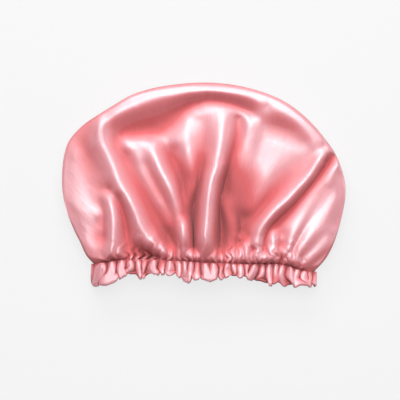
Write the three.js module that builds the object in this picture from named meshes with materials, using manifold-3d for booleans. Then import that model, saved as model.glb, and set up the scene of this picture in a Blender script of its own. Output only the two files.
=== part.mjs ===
// A satin hair bonnet lying flat, as it is put down after use: a gathered crown, and a casing band
// sewn round its edge that holds a loop of elastic. Millimetres, +Z up, +Y from the mouth to the crown.
import * as THREE from "three";
import { mergeVertices } from "three/addons/utils/BufferGeometryUtils.js";
import Module from "manifold-3d";

const wasm = await Module();
wasm.setup();

// Crown, seen from above with the seam of the mouth at y = 0
const CROWN_WIDTH = 300;
const CROWN_HEIGHT = 190;
const RIM_LEVEL = 30; // height of the crown's outline over the table
const RIM_TURN = 12; // width of the rounded edge over the crown's rim
const SEAM_RISE = 14; // how far the folds take to rise from the seam
const LEFT_WIDEST = 90; // where each side of the crown is widest, above the seam
const RIGHT_WIDEST = 81;
const LEFT_ROUNDING = 0.55; // share of a quarter arc's box that its Bezier handles take
const RIGHT_ROUNDING = 0.51;
const SIDE_HANDLE = 50; // how far the flanks run straight down from the widest point
const BLOUSE_OUT = 14; // how the cloth swells out and up where it leaves the mouth's ends
const BLOUSE_UP = 16;
const UNDER_ROUNDING = 26; // width of the rounded edge under the crown's rim
const UNDER_TURN = 24; // width of the turn from the table up to the mouth
const CLOTH = 0.8;

// Mouth, a flattened loop
const MOUTH_STRAIGHT = 102; // half the straight run between the end turns
const MOUTH_INNER_TURN = 4; // inside radius left at the end turns
const MOUTH_ARCH = 9; // how far the upper edge arches over the lower one
const MOUTH_END_DROP = 7; // how far the ends lie below the middle, in plan
const BAND_OFF_TABLE = 0.6;

// Casing band, elastic and sewing thread
const CLEARANCE = 0.35;
const SEAM_TUCK = 4; // crown cloth caught between the two faces of the band
const ELASTIC_WIDTH = 10;
const ELASTIC_THICKNESS = 1;
const ELASTIC_OVERLAP = 14;
const EDGE_MARGIN = 2.2; // from the elastic's lower edge to the fold
const BAND_FLARE = 0.32; // how far the band's ends lean outwards
const BAND_END_EXTRA = 3.5; // the loose ends hang this much deeper
const GATHERS = 34;
const GATHER_DEPTH = 3.2;
const EDGE_WAVE = 2.2; // how far the folded edge swings to each side
const EDGE_SCALLOP = 1.6; // and how much deeper it hangs under each gather
const THREAD = 0.6;
const SEAM_STITCH_IN = 0.8; // from the band's upper edge to its seam line
const TACK_INSET = 1.5; // the box of stitches lies this far inside the lapped ends

// Mesh density
const ACROSS = 30;
const FRONT_ROWS = 11;
const RIM_CROWDING = 1.6; // rows lie closer together towards the rim
const BACK_ROWS = 5;
const SAMPLES_PER_GATHER = 3;
const SLOT_FRONT = 12;
const SLOT_TURN = 9;
const SLOT_BACK = 4;
const THREAD_SIDES = 4;

const TUCK_HALF = CLOTH / 2 + CLEARANCE;
const SLOT_HALF = (2 * ELASTIC_THICKNESS + THREAD + 4 * CLEARANCE) / 2;
const ELASTIC_TOP = SEAM_TUCK + 2 * CLEARANCE;
const ELASTIC_END = ELASTIC_TOP + ELASTIC_WIDTH;
const SLOT_END = ELASTIC_END + CLEARANCE;
const BAND_DEPTH = ELASTIC_END + EDGE_MARGIN;
const FACE = SLOT_HALF + CLOTH; // the band's faces stand this far from its middle
const MOUTH_TURN = FACE + GATHER_DEPTH + MOUTH_INNER_TURN;
const MOUTH_LIE = FACE + GATHER_DEPTH + BAND_OFF_TABLE; // height of the lower edge over the table
const MOUTH_MID = MOUTH_LIE + MOUTH_TURN; // height of the loop's ends
const MOUTH_HALF = MOUTH_STRAIGHT + MOUTH_TURN;

const satin = new THREE.MeshStandardMaterial({ color: 0xe2868c, roughness: 0.34, metalness: 0 });
const rubberWebbing = new THREE.MeshStandardMaterial({ color: 0xf3eae6, roughness: 0.8, metalness: 0 });
const sewingThread = new THREE.MeshStandardMaterial({ color: 0xd97f88, roughness: 0.6, metalness: 0 });

// The crown's main folds: smooth lines along ridges, hollows and open cloth, through a few
// [across, up, height over the table] points each.
const MAIN_FOLDS = {
  rim: [[114, 136, 44], [61, 172, 46], [-15, 179, 46], [-87, 167, 47], [-109, 139, 46]],
  leftRidge: [[-109, 139, 46], [-90, 87, 44], [-54, 21, 42]],
  hollowUnderRim: [[-87, 134, 34], [-43, 136, 31], [-11, 162, 36], [30, 162, 36], [77, 141, 37]],
  middleRidge: [[19, 148, 44], [13, 103, 45], [1, 45, 44], [-1, 10, 42]],
  hollowLeftOfMiddle: [[0, 120, 38], [-4, 76, 34], [-12, 47, 34], [-11, 17, 34]],
  hollowRightOfMiddle: [[34, 140, 35], [22, 104, 34], [14, 66, 32], [16, 30, 31]],
  secondRidge: [[-72, 124, 41], [-47, 100, 42], [-34, 76, 42], [-18, 11, 41]],
  hollowRightOfSecond: [[-42, 116, 34], [-21, 66, 31]],
  hollowLeftOfSecond: [[-89, 112, 34], [-70, 81, 32], [-40, 29, 29]],
  rightPanel: [[89, 127, 43], [59, 134, 41], [54, 104, 41], [49, 70, 39]],
  rightHollow: [[97, 99, 39], [78, 76, 33], [59, 54, 30], [39, 34, 29]],
  rightRidge: [[131, 121, 41], [113, 98, 42], [74, 55, 42], [45, 25, 40]],
  hollowUnderRightRidge: [[141, 112, 32], [109, 75, 31], [72, 35, 30], [57, 15, 30]],
  rightFlank: [[138, 74, 38], [122, 45, 40], [103, 22, 40]],
  leftHollow: [[-127, 134, 36], [-117, 112, 35], [-104, 87, 34]],
  leftFlank: [[-135, 110, 38], [-132, 85, 38], [-128, 60, 39], [-118, 20, 38]],
  smallLeftRidge: [[-97, 63, 40], [-95, 12, 41]],
  hollowRightOfSmall: [[-86, 57, 32], [-82, 15, 30]],
};
const FOLD_SAMPLES = 24;
const FOLD_ROUNDING = 7;

const lerp = THREE.MathUtils.lerp;
const smoothstep = THREE.MathUtils.smoothstep;

function closedMesh(positions, triangles) {
  const geometry = new THREE.BufferGeometry();
  const numbers = positions.flatMap((p) => [p.x, p.y, p.z]);
  geometry.setAttribute("position", new THREE.Float32BufferAttribute(numbers, 3));
  geometry.setIndex(triangles);
  return geometry;
}

function solidFromGeometry(geometry) {
  const merged = mergeVertices(geometry, 1e-4);
  const vertProperties = new Float32Array(merged.attributes.position.array);
  const triVerts = new Uint32Array(merged.index.array);
  return new wasm.Manifold(new wasm.Mesh({ numProp: 3, vertProperties, triVerts }));
}

function geometryFromSolid(solid) {
  const made = solid.getMesh();
  const geometry = new THREE.BufferGeometry();
  geometry.setAttribute("position", new THREE.Float32BufferAttribute(made.vertProperties, 3));
  geometry.setIndex([...made.triVerts]);
  geometry.computeVertexNormals();
  return geometry;
}

// The mouth's loop. "across" runs along the upper or lower edge; "turn" runs 0 to 1 round an end,
// from the upper edge to the lower one. Each point carries its outward normal and the way the band hangs.
function mouthPoint(x, z, outX, outZ) {
  const toEnd = x / MOUTH_HALF;
  const hang = new THREE.Vector3(Math.sign(x) * BAND_FLARE * toEnd ** 4, -1, 0).normalize();
  const raw = new THREE.Vector3(outX, 0, outZ);
  const out = raw.addScaledVector(hang, -raw.dot(hang)).normalize();
  const depth = BAND_DEPTH + BAND_END_EXTRA * toEnd ** 4;
  return { at: new THREE.Vector3(x, -MOUTH_END_DROP * toEnd ** 2, z), out, hang, depth };
}

function upperEdge(across) {
  const x = MOUTH_STRAIGHT * (2 * across - 1);
  const phase = (Math.PI * x) / MOUTH_STRAIGHT;
  const slope = (-0.5 * MOUTH_ARCH * Math.PI * Math.sin(phase)) / MOUTH_STRAIGHT;
  const z = MOUTH_MID + MOUTH_TURN + 0.5 * MOUTH_ARCH * (1 + Math.cos(phase));
  return mouthPoint(x, z, -slope, 1);
}

function lowerEdge(across) {
  return mouthPoint(MOUTH_STRAIGHT * (2 * across - 1), MOUTH_LIE, 0, -1);
}

function endTurn(side, turn) {
  const angle = Math.PI * turn;
  const x = side * (MOUTH_STRAIGHT + MOUTH_TURN * Math.sin(angle));
  const z = MOUTH_MID + MOUTH_TURN * Math.cos(angle);
  return mouthPoint(x, z, side * Math.sin(angle), Math.cos(angle));
}

// The loop by share of its length, from its left upper corner to the right along the upper edge, round
// the right end and back along the lower edge
const END_LENGTH = Math.PI * MOUTH_TURN;
const MOUTH_LENGTH = 4 * MOUTH_STRAIGHT + 2 * END_LENGTH;
const EDGE_SHARE = (2 * MOUTH_STRAIGHT) / MOUTH_LENGTH;
const END_SHARE = END_LENGTH / MOUTH_LENGTH;

function mouthAt(share) {
  const run = ((share % 1) + 1) % 1;
  if (run < EDGE_SHARE) return upperEdge(run / EDGE_SHARE);
  if (run < 0.5) return endTurn(1, (run - EDGE_SHARE) / END_SHARE);
  if (run < 0.5 + EDGE_SHARE) return lowerEdge(1 - (run - 0.5) / EDGE_SHARE);
  return endTurn(-1, 1 - (run - 0.5 - EDGE_SHARE) / END_SHARE);
}

// Shares closely spaced where the slot and the elastic bend
function loopShares() {
  const shares = [];
  for (let i = 0; i < SLOT_FRONT; i++) shares.push((i / SLOT_FRONT) * EDGE_SHARE);
  for (let i = 0; i < SLOT_TURN; i++) shares.push(EDGE_SHARE + (i / SLOT_TURN) * END_SHARE);
  for (let i = 0; i < SLOT_BACK; i++) shares.push(0.5 + (i / SLOT_BACK) * EDGE_SHARE);
  for (let i = 0; i < SLOT_TURN; i++) shares.push(0.5 + EDGE_SHARE + (i / SLOT_TURN) * END_SHARE);
  return shares;
}

// A point of the band's section: how far down it hangs and how far it stands out
function onBand(mouth, down, out) {
  return mouth.at.clone().addScaledVector(mouth.hang, down).addScaledVector(mouth.out, out);
}

// The crown's outline in plan, from the mouth's left end over the top to its right end
function crownOutline() {
  const half = CROWN_WIDTH / 2;
  const start = new THREE.Vector2(-MOUTH_HALF, -MOUTH_END_DROP);
  const left = new THREE.Vector2(-half, LEFT_WIDEST);
  const top = new THREE.Vector2(0, CROWN_HEIGHT);
  const right = new THREE.Vector2(half, RIGHT_WIDEST);
  const end = new THREE.Vector2(MOUTH_HALF, -MOUTH_END_DROP);
  const leftRise = LEFT_ROUNDING * (CROWN_HEIGHT - LEFT_WIDEST);
  const rightRise = RIGHT_ROUNDING * (CROWN_HEIGHT - RIGHT_WIDEST);
  const shift = (p, x, y) => new THREE.Vector2(p.x + x, p.y + y);
  const path = new THREE.CurvePath();
  const arc = (from, leave, arrive, to) => path.add(new THREE.CubicBezierCurve(from, leave, arrive, to));
  arc(start, shift(start, -BLOUSE_OUT, BLOUSE_UP), shift(left, 0, -SIDE_HANDLE), left);
  arc(left, shift(left, 0, leftRise), shift(top, -LEFT_ROUNDING * half, 0), top);
  arc(top, shift(top, RIGHT_ROUNDING * half, 0), shift(right, 0, rightRise), right);
  arc(right, shift(right, 0, -SIDE_HANDLE), shift(end, BLOUSE_OUT, BLOUSE_UP), end);
  return path;
}

function foldPoints() {
  return Object.values(MAIN_FOLDS).flatMap((line) => {
    const curve = new THREE.CatmullRomCurve3(line.map(([x, y, z]) => new THREE.Vector3(x, y, z)));
    return curve.getSpacedPoints(FOLD_SAMPLES);
  });
}

// Height of the cloth at a point of the plan: the heights of the fold lines, the nearest counting most
function clothHeight(folds, x, y) {
  let sum = 0;
  let total = 0;
  for (const p of folds) {
    const apart = (p.x - x) ** 2 + (p.y - y) ** 2 + FOLD_ROUNDING ** 2;
    sum += p.z / apart ** 2;
    total += 1 / apart ** 2;
  }
  return sum / total;
}

// The crown's cloth: columns run from the mouth over the rim and back under to the mouth.
const quarterRound = (distance, width) => Math.sqrt(1 - (1 - Math.min(distance / width, 1)) ** 2);
const quarterArc = (from, to, share) => from + (to - from) * (1 - Math.sqrt(1 - share * share));
const rimLevel = (length) => lerp(MOUTH_MID, RIM_LEVEL, smoothstep(length, 0, CROWN_HEIGHT / 2));

function crownFront(mouth, rim, share, folds) {
  const from = mouth.at;
  const length = Math.hypot(rim.x - from.x, rim.y - from.y);
  const x = lerp(from.x, rim.x, share);
  const y = lerp(from.y, rim.y, share);
  const risen = smoothstep(share * length, 0, Math.min(SEAM_RISE, length / 2));
  const turned = quarterRound((1 - share) * length, Math.min(RIM_TURN, length / 2));
  const level = rimLevel(length);
  const folded = lerp(level, lerp(from.z, clothHeight(folds, x, y), risen), turned);
  const rounded = quarterArc(from.z, level, share);
  return new THREE.Vector3(x, y, lerp(rounded, folded, smoothstep(length, 2 * MOUTH_TURN, 6 * MOUTH_TURN)));
}

function crownBack(mouth, rim, share) {
  const from = mouth.at;
  const length = Math.hypot(rim.x - from.x, rim.y - from.y);
  const level = rimLevel(length);
  const flat = smoothstep(length, 2 * MOUTH_TURN, 8 * MOUTH_TURN);
  const rimPart = 1 - quarterRound((1 - share) * length, Math.min(UNDER_ROUNDING, length / 2));
  const seamPart = 1 - smoothstep(share * length, 0, Math.min(UNDER_TURN, length / 2));
  const lying = CLOTH / 2 + (level - CLOTH / 2) * rimPart + (from.z - CLOTH / 2) * seamPart;
  const rounded = quarterArc(from.z, level, share);
  return new THREE.Vector3(lerp(from.x, rim.x, share), lerp(from.y, rim.y, share), lerp(rounded, lying, flat));
}

// Middle surface of the crown's cloth as columns[i][j]; its four edges lie on the mouth's loop.
function crownColumns() {
  const outline = crownOutline();
  const folds = foldPoints();
  const rows = FRONT_ROWS + BACK_ROWS;
  const columns = [];
  for (let i = 0; i <= ACROSS; i++) {
    const across = i / ACROSS;
    const side = i === 0 ? -1 : 1;
    const atEnd = i === 0 || i === ACROSS;
    const rim = outline.getPointAt(across);
    const column = [];
    for (let j = 0; j <= rows; j++) {
      const front = j <= FRONT_ROWS;
      const share = front ? j / FRONT_ROWS : (rows - j) / BACK_ROWS;
      const towardsRim = 1 - (1 - share) ** RIM_CROWDING;
      if (atEnd) column.push(endTurn(side, front ? share / 2 : 1 - share / 2).at);
      else if (front) column.push(crownFront(upperEdge(across), rim, towardsRim, folds));
      else column.push(crownBack(lowerEdge(across), rim, towardsRim));
    }
    columns.push(column);
  }
  return columns;
}

// The mouth's points in the order of the crown's edge: upper edge, right end, lower edge, left end
function crownEdge() {
  const rows = FRONT_ROWS + BACK_ROWS;
  const turnAt = (j) => (j <= FRONT_ROWS ? j / FRONT_ROWS / 2 : 1 - (rows - j) / BACK_ROWS / 2);
  const edge = [];
  for (let i = 0; i < ACROSS; i++) edge.push({ i, j: 0, mouth: upperEdge(i / ACROSS) });
  for (let j = 0; j < rows; j++) edge.push({ i: ACROSS, j, mouth: endTurn(1, turnAt(j)) });
  for (let i = ACROSS; i > 0; i--) edge.push({ i, j: rows, mouth: lowerEdge(i / ACROSS) });
  for (let j = rows; j > 0; j--) edge.push({ i: 0, j, mouth: endTurn(-1, turnAt(j)) });
  return edge;
}

function crownGeometry() {
  const columns = crownColumns();
  const rows = columns[0].length;
  const edge = crownEdge();
  const edgeNormal = new Map(edge.map(({ i, j, mouth }) => [i * rows + j, mouth.out]));
  const positions = [];
  const triangles = [];
  const quad = (a, b, c, d) => triangles.push(a, b, c, a, c, d);
  const normalAt = (i, j) => {
    if (edgeNormal.has(i * rows + j)) return edgeNormal.get(i * rows + j);
    const across = columns[Math.min(i + 1, ACROSS)][j].clone().sub(columns[Math.max(i - 1, 0)][j]);
    const up = columns[i][Math.min(j + 1, rows - 1)].clone().sub(columns[i][Math.max(j - 1, 0)]);
    return across.cross(up).normalize();
  };
  for (const side of [1, -1])
    columns.forEach((column, i) =>
      column.forEach((p, j) => positions.push(p.clone().addScaledVector(normalAt(i, j), (side * CLOTH) / 2))),
    );
  const inside = columns.length * rows;
  for (let i = 0; i < ACROSS; i++)
    for (let j = 0; j < rows - 1; j++) {
      const a = i * rows + j;
      quad(a, a + rows, a + rows + 1, a + 1);
      quad(inside + a, inside + a + 1, inside + a + rows + 1, inside + a + rows);
    }
  const tuckOuter = positions.length;
  for (const side of [1, -1])
    for (const { mouth } of edge) positions.push(onBand(mouth, SEAM_TUCK, (side * CLOTH) / 2));
  const tuckInner = tuckOuter + edge.length;
  edge.forEach(({ i, j }, k) => {
    const next = (k + 1) % edge.length;
    const here = i * rows + j;
    const there = edge[next].i * rows + edge[next].j;
    quad(there, here, tuckOuter + k, tuckOuter + next);
    quad(inside + here, inside + there, tuckInner + next, tuckInner + k);
    quad(tuckOuter + next, tuckOuter + k, tuckInner + k, tuckInner + next);
  });
  return closedMesh(positions, triangles);
}

// A closed band of sections, each a ring of points in the same order
function loopOfSections(sections) {
  const size = sections[0].length;
  const triangles = [];
  sections.forEach((_, k) => {
    const next = (k + 1) % sections.length;
    for (let m = 0; m < size; m++) {
      const n = (m + 1) % size;
      triangles.push(k * size + m, next * size + n, next * size + m);
      triangles.push(k * size + m, k * size + n, next * size + n);
    }
  });
  return closedMesh(sections.flat(), triangles);
}

// A strip of sections with closed ends
function stripOfSections(sections) {
  const size = sections[0].length;
  const triangles = [];
  for (let k = 0; k < sections.length - 1; k++)
    for (let m = 0; m < size; m++) {
      const n = (m + 1) % size;
      triangles.push(k * size + m, (k + 1) * size + n, (k + 1) * size + m);
      triangles.push(k * size + m, k * size + n, (k + 1) * size + n);
    }
  const lastStart = (sections.length - 1) * size;
  for (let m = 1; m < size - 1; m++) {
    triangles.push(0, m + 1, m);
    triangles.push(lastStart, lastStart + m, lastStart + m + 1);
  }
  return closedMesh(sections.flat(), triangles);
}

// Gathers: how far the band swells at a sample, from 0 in a valley to 1 on a crest
const BAND_SAMPLES = GATHERS * SAMPLES_PER_GATHER;
const gatherAt = (k) => 0.5 + 0.5 * Math.cos((2 * Math.PI * k) / SAMPLES_PER_GATHER);

// The band's two faces at a sample: the pinched upper edge, the swell over the elastic, the edge
// stitching, and the fold. Each returns how far down it hangs and how far out it stands.
function bandProfile(k, mouth) {
  const gather = gatherAt(k);
  const swing = EDGE_WAVE * (2 * gather - 1);
  const scallop = EDGE_SCALLOP * gather;
  const stitchLine = mouth.depth - EDGE_MARGIN;
  return {
    upper: { down: 0, out: FACE + 0.35 * GATHER_DEPTH * gather },
    swell: { down: mouth.depth / 2, out: FACE + GATHER_DEPTH * gather },
    stitch: { down: stitchLine, out: FACE + 0.6 * GATHER_DEPTH * gather },
    fold: { down: mouth.depth + CLOTH + scallop, out: 0.5 * swing },
  };
}

function bandGeometry() {
  const sections = [];
  for (let k = 0; k < BAND_SAMPLES; k++) {
    const mouth = mouthAt(k / BAND_SAMPLES);
    const { upper, swell, stitch, fold } = bandProfile(k, mouth);
    const outer = [upper, swell, stitch].map(({ down, out }) => onBand(mouth, down, out));
    const inner = [stitch, swell, upper].map(({ down, out }) => onBand(mouth, down, -out));
    sections.push([...outer, onBand(mouth, fold.down, fold.out), ...inner]);
  }
  const slot = loopShares().map((share) => {
    const mouth = mouthAt(share);
    const step = SEAM_TUCK + CLEARANCE;
    const outer = [[-CLOTH, TUCK_HALF], [step, TUCK_HALF], [step, SLOT_HALF], [SLOT_END, SLOT_HALF]];
    const inner = outer.map(([down, out]) => [down, -out]).reverse();
    return [...outer, ...inner].map(([down, out]) => onBand(mouth, down, out));
  });
  const cut = solidFromGeometry(loopOfSections(sections)).subtract(solidFromGeometry(loopOfSections(slot)));
  return geometryFromSolid(cut);
}

// The elastic lies against the outer face; past a full turn its end steps inwards over its start.
const ELASTIC_LAY = SLOT_HALF - CLEARANCE - ELASTIC_THICKNESS / 2;
const ELASTIC_LAP = ELASTIC_LAY - ELASTIC_THICKNESS - CLEARANCE;
const LAP_SHARE = ELASTIC_OVERLAP / MOUTH_LENGTH;
const LAP_START = 0.5 + EDGE_SHARE / 2 - LAP_SHARE / 2; // the lap lies in the middle of the lower edge

function elasticGeometry() {
  const between = loopShares().map((share) => share + (share <= LAP_START ? 1 : 0));
  const step = LAP_START + 1 - LAP_SHARE;
  const marks = [LAP_START, step, LAP_START + 1, LAP_START + 1 + LAP_SHARE];
  const kept = between.filter((share) => share < step && share > LAP_START);
  const shares = [...kept, ...marks].sort((a, b) => a - b);
  const sections = shares.map((share) => {
    const mouth = mouthAt(share);
    const middle = lerp(ELASTIC_LAY, ELASTIC_LAP, smoothstep(share, step, LAP_START + 1));
    const half = ELASTIC_THICKNESS / 2;
    return [
      onBand(mouth, ELASTIC_TOP, middle + half),
      onBand(mouth, ELASTIC_END, middle + half),
      onBand(mouth, ELASTIC_END, middle - half),
      onBand(mouth, ELASTIC_TOP, middle - half),
    ];
  });
  return stripOfSections(sections);
}

// A box of stitches through the lapped ends, lying on the inner one
function tackGeometry() {
  const level = ELASTIC_LAP - ELASTIC_THICKNESS / 2 - CLEARANCE - THREAD / 2;
  const inset = TACK_INSET / MOUTH_LENGTH;
  const thread = THREAD / MOUTH_LENGTH;
  const corners = [[0, 0], [1, 0], [1, 1], [0, 1]];
  const sections = corners.map(([along, down]) => {
    const at = (grow, out) => {
      const share = along ? LAP_SHARE - inset + grow * thread : inset - grow * thread;
      const inwards = TACK_INSET - grow * THREAD;
      const depth = down ? ELASTIC_END - inwards : ELASTIC_TOP + inwards;
      return onBand(mouthAt(LAP_START + share), depth, level + out);
    };
    const half = THREAD / 2;
    return [at(-0.5, half), at(-0.5, -half), at(0.5, -half), at(0.5, half)];
  });
  return loopOfSections(sections);
}

// A line of stitching round the band, on its outer face (side 1) or its inner one (side -1)
function stitchGeometry(side, rowOf) {
  const sections = [];
  for (let k = 0; k < BAND_SAMPLES; k++) {
    const mouth = mouthAt(k / BAND_SAMPLES);
    const row = rowOf(bandProfile(k, mouth));
    const middle = row.out + CLEARANCE + THREAD / 2;
    const ring = [];
    for (let m = 0; m < THREAD_SIDES; m++) {
      const angle = (2 * Math.PI * m) / THREAD_SIDES;
      const out = middle + (Math.cos(angle) * THREAD) / 2;
      ring.push(onBand(mouth, row.down + (side * Math.sin(angle) * THREAD) / 2, side * out));
    }
    sections.push(ring);
  }
  return loopOfSections(sections);
}

const seamRow = ({ upper, swell }) => ({
  down: SEAM_STITCH_IN,
  out: lerp(upper.out, swell.out, SEAM_STITCH_IN / swell.down),
});
const edgeRow = ({ stitch }) => stitch;

const root = new THREE.Group();

function addPiece(name, geometry, material) {
  geometry.computeVertexNormals();
  const mesh = new THREE.Mesh(geometry, material);
  mesh.name = name;
  root.add(mesh);
}

addPiece("crown_panel", crownGeometry(), satin);
addPiece("casing_band", bandGeometry(), satin);
addPiece("elastic_loop", elasticGeometry(), rubberWebbing);
addPiece("elastic_overlap_tack", tackGeometry(), sewingThread);
addPiece("seam_needle_thread", stitchGeometry(1, seamRow), sewingThread);
addPiece("seam_bobbin_thread", stitchGeometry(-1, seamRow), sewingThread);
addPiece("edge_needle_thread", stitchGeometry(1, edgeRow), sewingThread);
addPiece("edge_bobbin_thread", stitchGeometry(-1, edgeRow), sewingThread);

// The origin is under the middle of the whole piece, on the table
const box = new THREE.Box3().setFromObject(root);
const centre = box.getCenter(new THREE.Vector3());
root.position.set(-centre.x, -centre.y, -box.min.z);

export default root;
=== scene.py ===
"""A satin hair bonnet lying flat: gathered crown, frilled casing band, elastic loop and stitching.

Shapes are worked out in millimetres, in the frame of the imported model: +X to the right across the mouth,
+Y from the mouth to the top of the crown, +Z up off the table. Meshes are made in metres.
"""

import math

import bpy
import numpy as np
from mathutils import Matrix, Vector


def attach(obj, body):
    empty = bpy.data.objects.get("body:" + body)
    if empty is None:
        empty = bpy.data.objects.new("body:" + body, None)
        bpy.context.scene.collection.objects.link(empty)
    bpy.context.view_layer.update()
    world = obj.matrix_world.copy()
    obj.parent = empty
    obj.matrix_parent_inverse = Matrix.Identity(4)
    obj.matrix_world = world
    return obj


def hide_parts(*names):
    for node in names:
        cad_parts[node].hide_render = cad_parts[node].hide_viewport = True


MM = 0.001

# View straight down on the bonnet, as it was photographed
VIEW_CENTRE = (-4.2, -14.8)
VIEW_WIDTH = 424.0
VIEW_LEVEL = 16.0
CAMERA_HEIGHT = 1900.0

scene = bpy.context.scene
scene.view_settings.view_transform = "Standard"
camera_data = bpy.data.cameras.new("camera")
camera_data.angle = 2 * math.atan(VIEW_WIDTH / 2 / (CAMERA_HEIGHT - VIEW_LEVEL))
camera = bpy.data.objects.new("camera", camera_data)
camera.location = (VIEW_CENTRE[0] * MM, VIEW_CENTRE[1] * MM, CAMERA_HEIGHT * MM)
scene.collection.objects.link(camera)
scene.camera = camera

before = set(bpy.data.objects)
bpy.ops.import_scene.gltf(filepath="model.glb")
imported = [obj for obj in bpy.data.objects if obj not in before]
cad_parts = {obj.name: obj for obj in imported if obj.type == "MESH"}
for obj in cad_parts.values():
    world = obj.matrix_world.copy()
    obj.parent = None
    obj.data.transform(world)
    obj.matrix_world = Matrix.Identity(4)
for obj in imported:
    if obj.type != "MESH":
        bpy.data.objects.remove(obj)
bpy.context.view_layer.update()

# Mouth: a flattened loop, its seam line across the frame at SEAM_Y
SEAM_Y = -80.7
MOUTH_STRAIGHT = 102.0
MOUTH_TURN = 10.0
MOUTH_ARCH = 9.0
MOUTH_LIE = 6.6
MOUTH_MID = MOUTH_LIE + MOUTH_TURN
MOUTH_ROUND = 4 * MOUTH_STRAIGHT + 2 * math.pi * MOUTH_TURN

# Crown: its outline from one end of the mouth over the top to the other, and its rows and columns
OUTLINE = [
    (-112, -87), (-124, -74), (-131, -59), (-138, -44), (-145, -25), (-149, -4), (-149, 18), (-146.5, 35),
    (-141, 49), (-127, 64), (-111, 75), (-93, 86), (-78, 94.7), (-62, 100.5), (-42, 105), (-10, 108.5),
    (22, 107.5), (54, 101), (84, 89), (108, 71), (126, 51), (139, 32), (147, 10), (149, -6),
    (147, -23), (141, -48), (135, -65), (127, -79), (112.5, -95),
]
COLUMNS = 300
FRONT_ROWS = 200
BACK_ROWS = 70

# Curves and noise
SPLINE_STEPS = 24
NOISE_CELLS = 256


def smoothstep(x, low, high):
    """Rises smoothly from nought at low to one at high."""
    t = np.clip((x - low) / (high - low), 0, 1)
    return t * t * (3 - 2 * t)


def lerp(a, b, t):
    """Goes from a to b as t goes from nought to one."""
    return a + (b - a) * t


def quarter_turn(distance, width):
    """Rises like a quarter circle from nought at the edge to one."""
    return np.sqrt(1 - (1 - np.clip(distance / width, 0, 1)) ** 2)


def step_lengths(path):
    """Distances from each point of a path to the next."""
    return np.linalg.norm(np.diff(path, axis=0), axis=1)


def running_total(steps):
    """Nought, and then the sum of the steps so far."""
    return np.concatenate([[0], np.cumsum(steps)])


def left_of(path):
    """Directions to the left of a path in the plan, one unit long."""
    ahead = np.gradient(path, axis=0)
    return np.column_stack([-ahead[:, 1], ahead[:, 0]]) / np.linalg.norm(ahead, axis=1, keepdims=True)


def spline(points, count):
    """Evenly spaced points on a smooth curve through the given ones."""
    p = np.array(points, float)
    p = np.vstack([2 * p[0] - p[1], p, 2 * p[-1] - p[-2]])
    t = np.linspace(0, 1, SPLINE_STEPS, endpoint=False)[:, None]
    pieces = []
    for k in range(1, len(p) - 2):
        a, b, c, d = p[k - 1], p[k], p[k + 1], p[k + 2]
        square = 2 * a - 5 * b + 4 * c - d
        cube = 3 * b - a - 3 * c + d
        pieces.append(0.5 * (2 * b + (c - a) * t + square * t**2 + cube * t**3))
    fine = np.vstack(pieces + [p[-2:-1]])
    run = running_total(step_lengths(fine))
    even = np.linspace(0, run[-1], count)
    return np.stack([np.interp(even, run, fine[:, k]) for k in range(fine.shape[1])], axis=1)


def smooth_noise(seed, *coordinates):
    """Seeded noise between -1 and 1 that changes over about one unit of its one or two coordinates."""
    rng = np.random.default_rng(seed)
    grid = rng.uniform(-1, 1, (NOISE_CELLS,) * len(coordinates))
    cells = [np.floor(c).astype(int) for c in coordinates]
    parts = [smoothstep(c - k, 0, 1) for c, k in zip(coordinates, cells)]
    near = [k % NOISE_CELLS for k in cells]
    far = [(k + 1) % NOISE_CELLS for k in cells]
    if len(coordinates) == 1:
        return lerp(grid[near[0]], grid[far[0]], parts[0])
    low = lerp(grid[near[0], near[1]], grid[far[0], near[1]], parts[0])
    high = lerp(grid[near[0], far[1]], grid[far[0], far[1]], parts[0])
    return lerp(low, high, parts[1])


# At places across: how far the mouth's seam lies below SEAM_Y, and how far the band hangs below the seam
SEAM_LINE = [
    (-119, 4, 20), (-107, 0.5, 26), (-98, -1.5, 25), (-90, -2.8, 23), (-81, -3.2, 18), (-69, -3.4, 20.5),
    (-56, -3.4, 17.5), (-43, -2.6, 16.5), (-31, -2, 16), (-18, -1.8, 21.5), (-5, -0.6, 18), (5, 0, 20.5),
    (16, 0, 17.5), (29, 0.6, 16), (41, 1.2, 16), (54, 1.5, 20), (67, 1, 23.5), (79, 1.5, 24),
    (90, 4, 23), (99, 7, 19), (107, 9, 16), (116, 11, 15),
]
SEAM_STEPS = 400
BACK_HEM = 0.84
UNDER_FROM = -0.3
UNDER_FULL = 0.6


def mouth_drop(x):
    """How far the mouth's seam lies below SEAM_Y."""
    places, drops, _ = spline(SEAM_LINE, SEAM_STEPS).T
    return np.interp(x, places, drops)


def underside(facing):
    """Nought where the band faces up and one where it faces the table."""
    return smoothstep(-facing, UNDER_FROM, UNDER_FULL)


def hem_length(x, facing):
    """How far the band hangs below the seam, a little less on the underside."""
    places, _, lengths = spline(SEAM_LINE, SEAM_STEPS).T
    return np.interp(x, places, lengths) * lerp(1, BACK_HEM, underside(facing))


def mouth_arch(x):
    """How far the front of the mouth arches up over its straight loop."""
    return 0.5 * MOUTH_ARCH * (1 + np.cos(math.pi * np.clip(x / MOUTH_STRAIGHT, -1, 1)))


def upper_edge(across):
    """Points of the crown's edge along the front of the mouth, at shares of the way across."""
    x = MOUTH_STRAIGHT * (2 * across - 1)
    return np.stack([x, SEAM_Y - mouth_drop(x), MOUTH_MID + MOUTH_TURN + mouth_arch(x)], axis=-1)


def lower_edge(across):
    """Points of the crown's edge along the back of the mouth, at shares of the way across."""
    x = MOUTH_STRAIGHT * (2 * across - 1)
    return np.stack([x, SEAM_Y - mouth_drop(x), np.full_like(x, MOUTH_LIE)], axis=-1)


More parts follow.
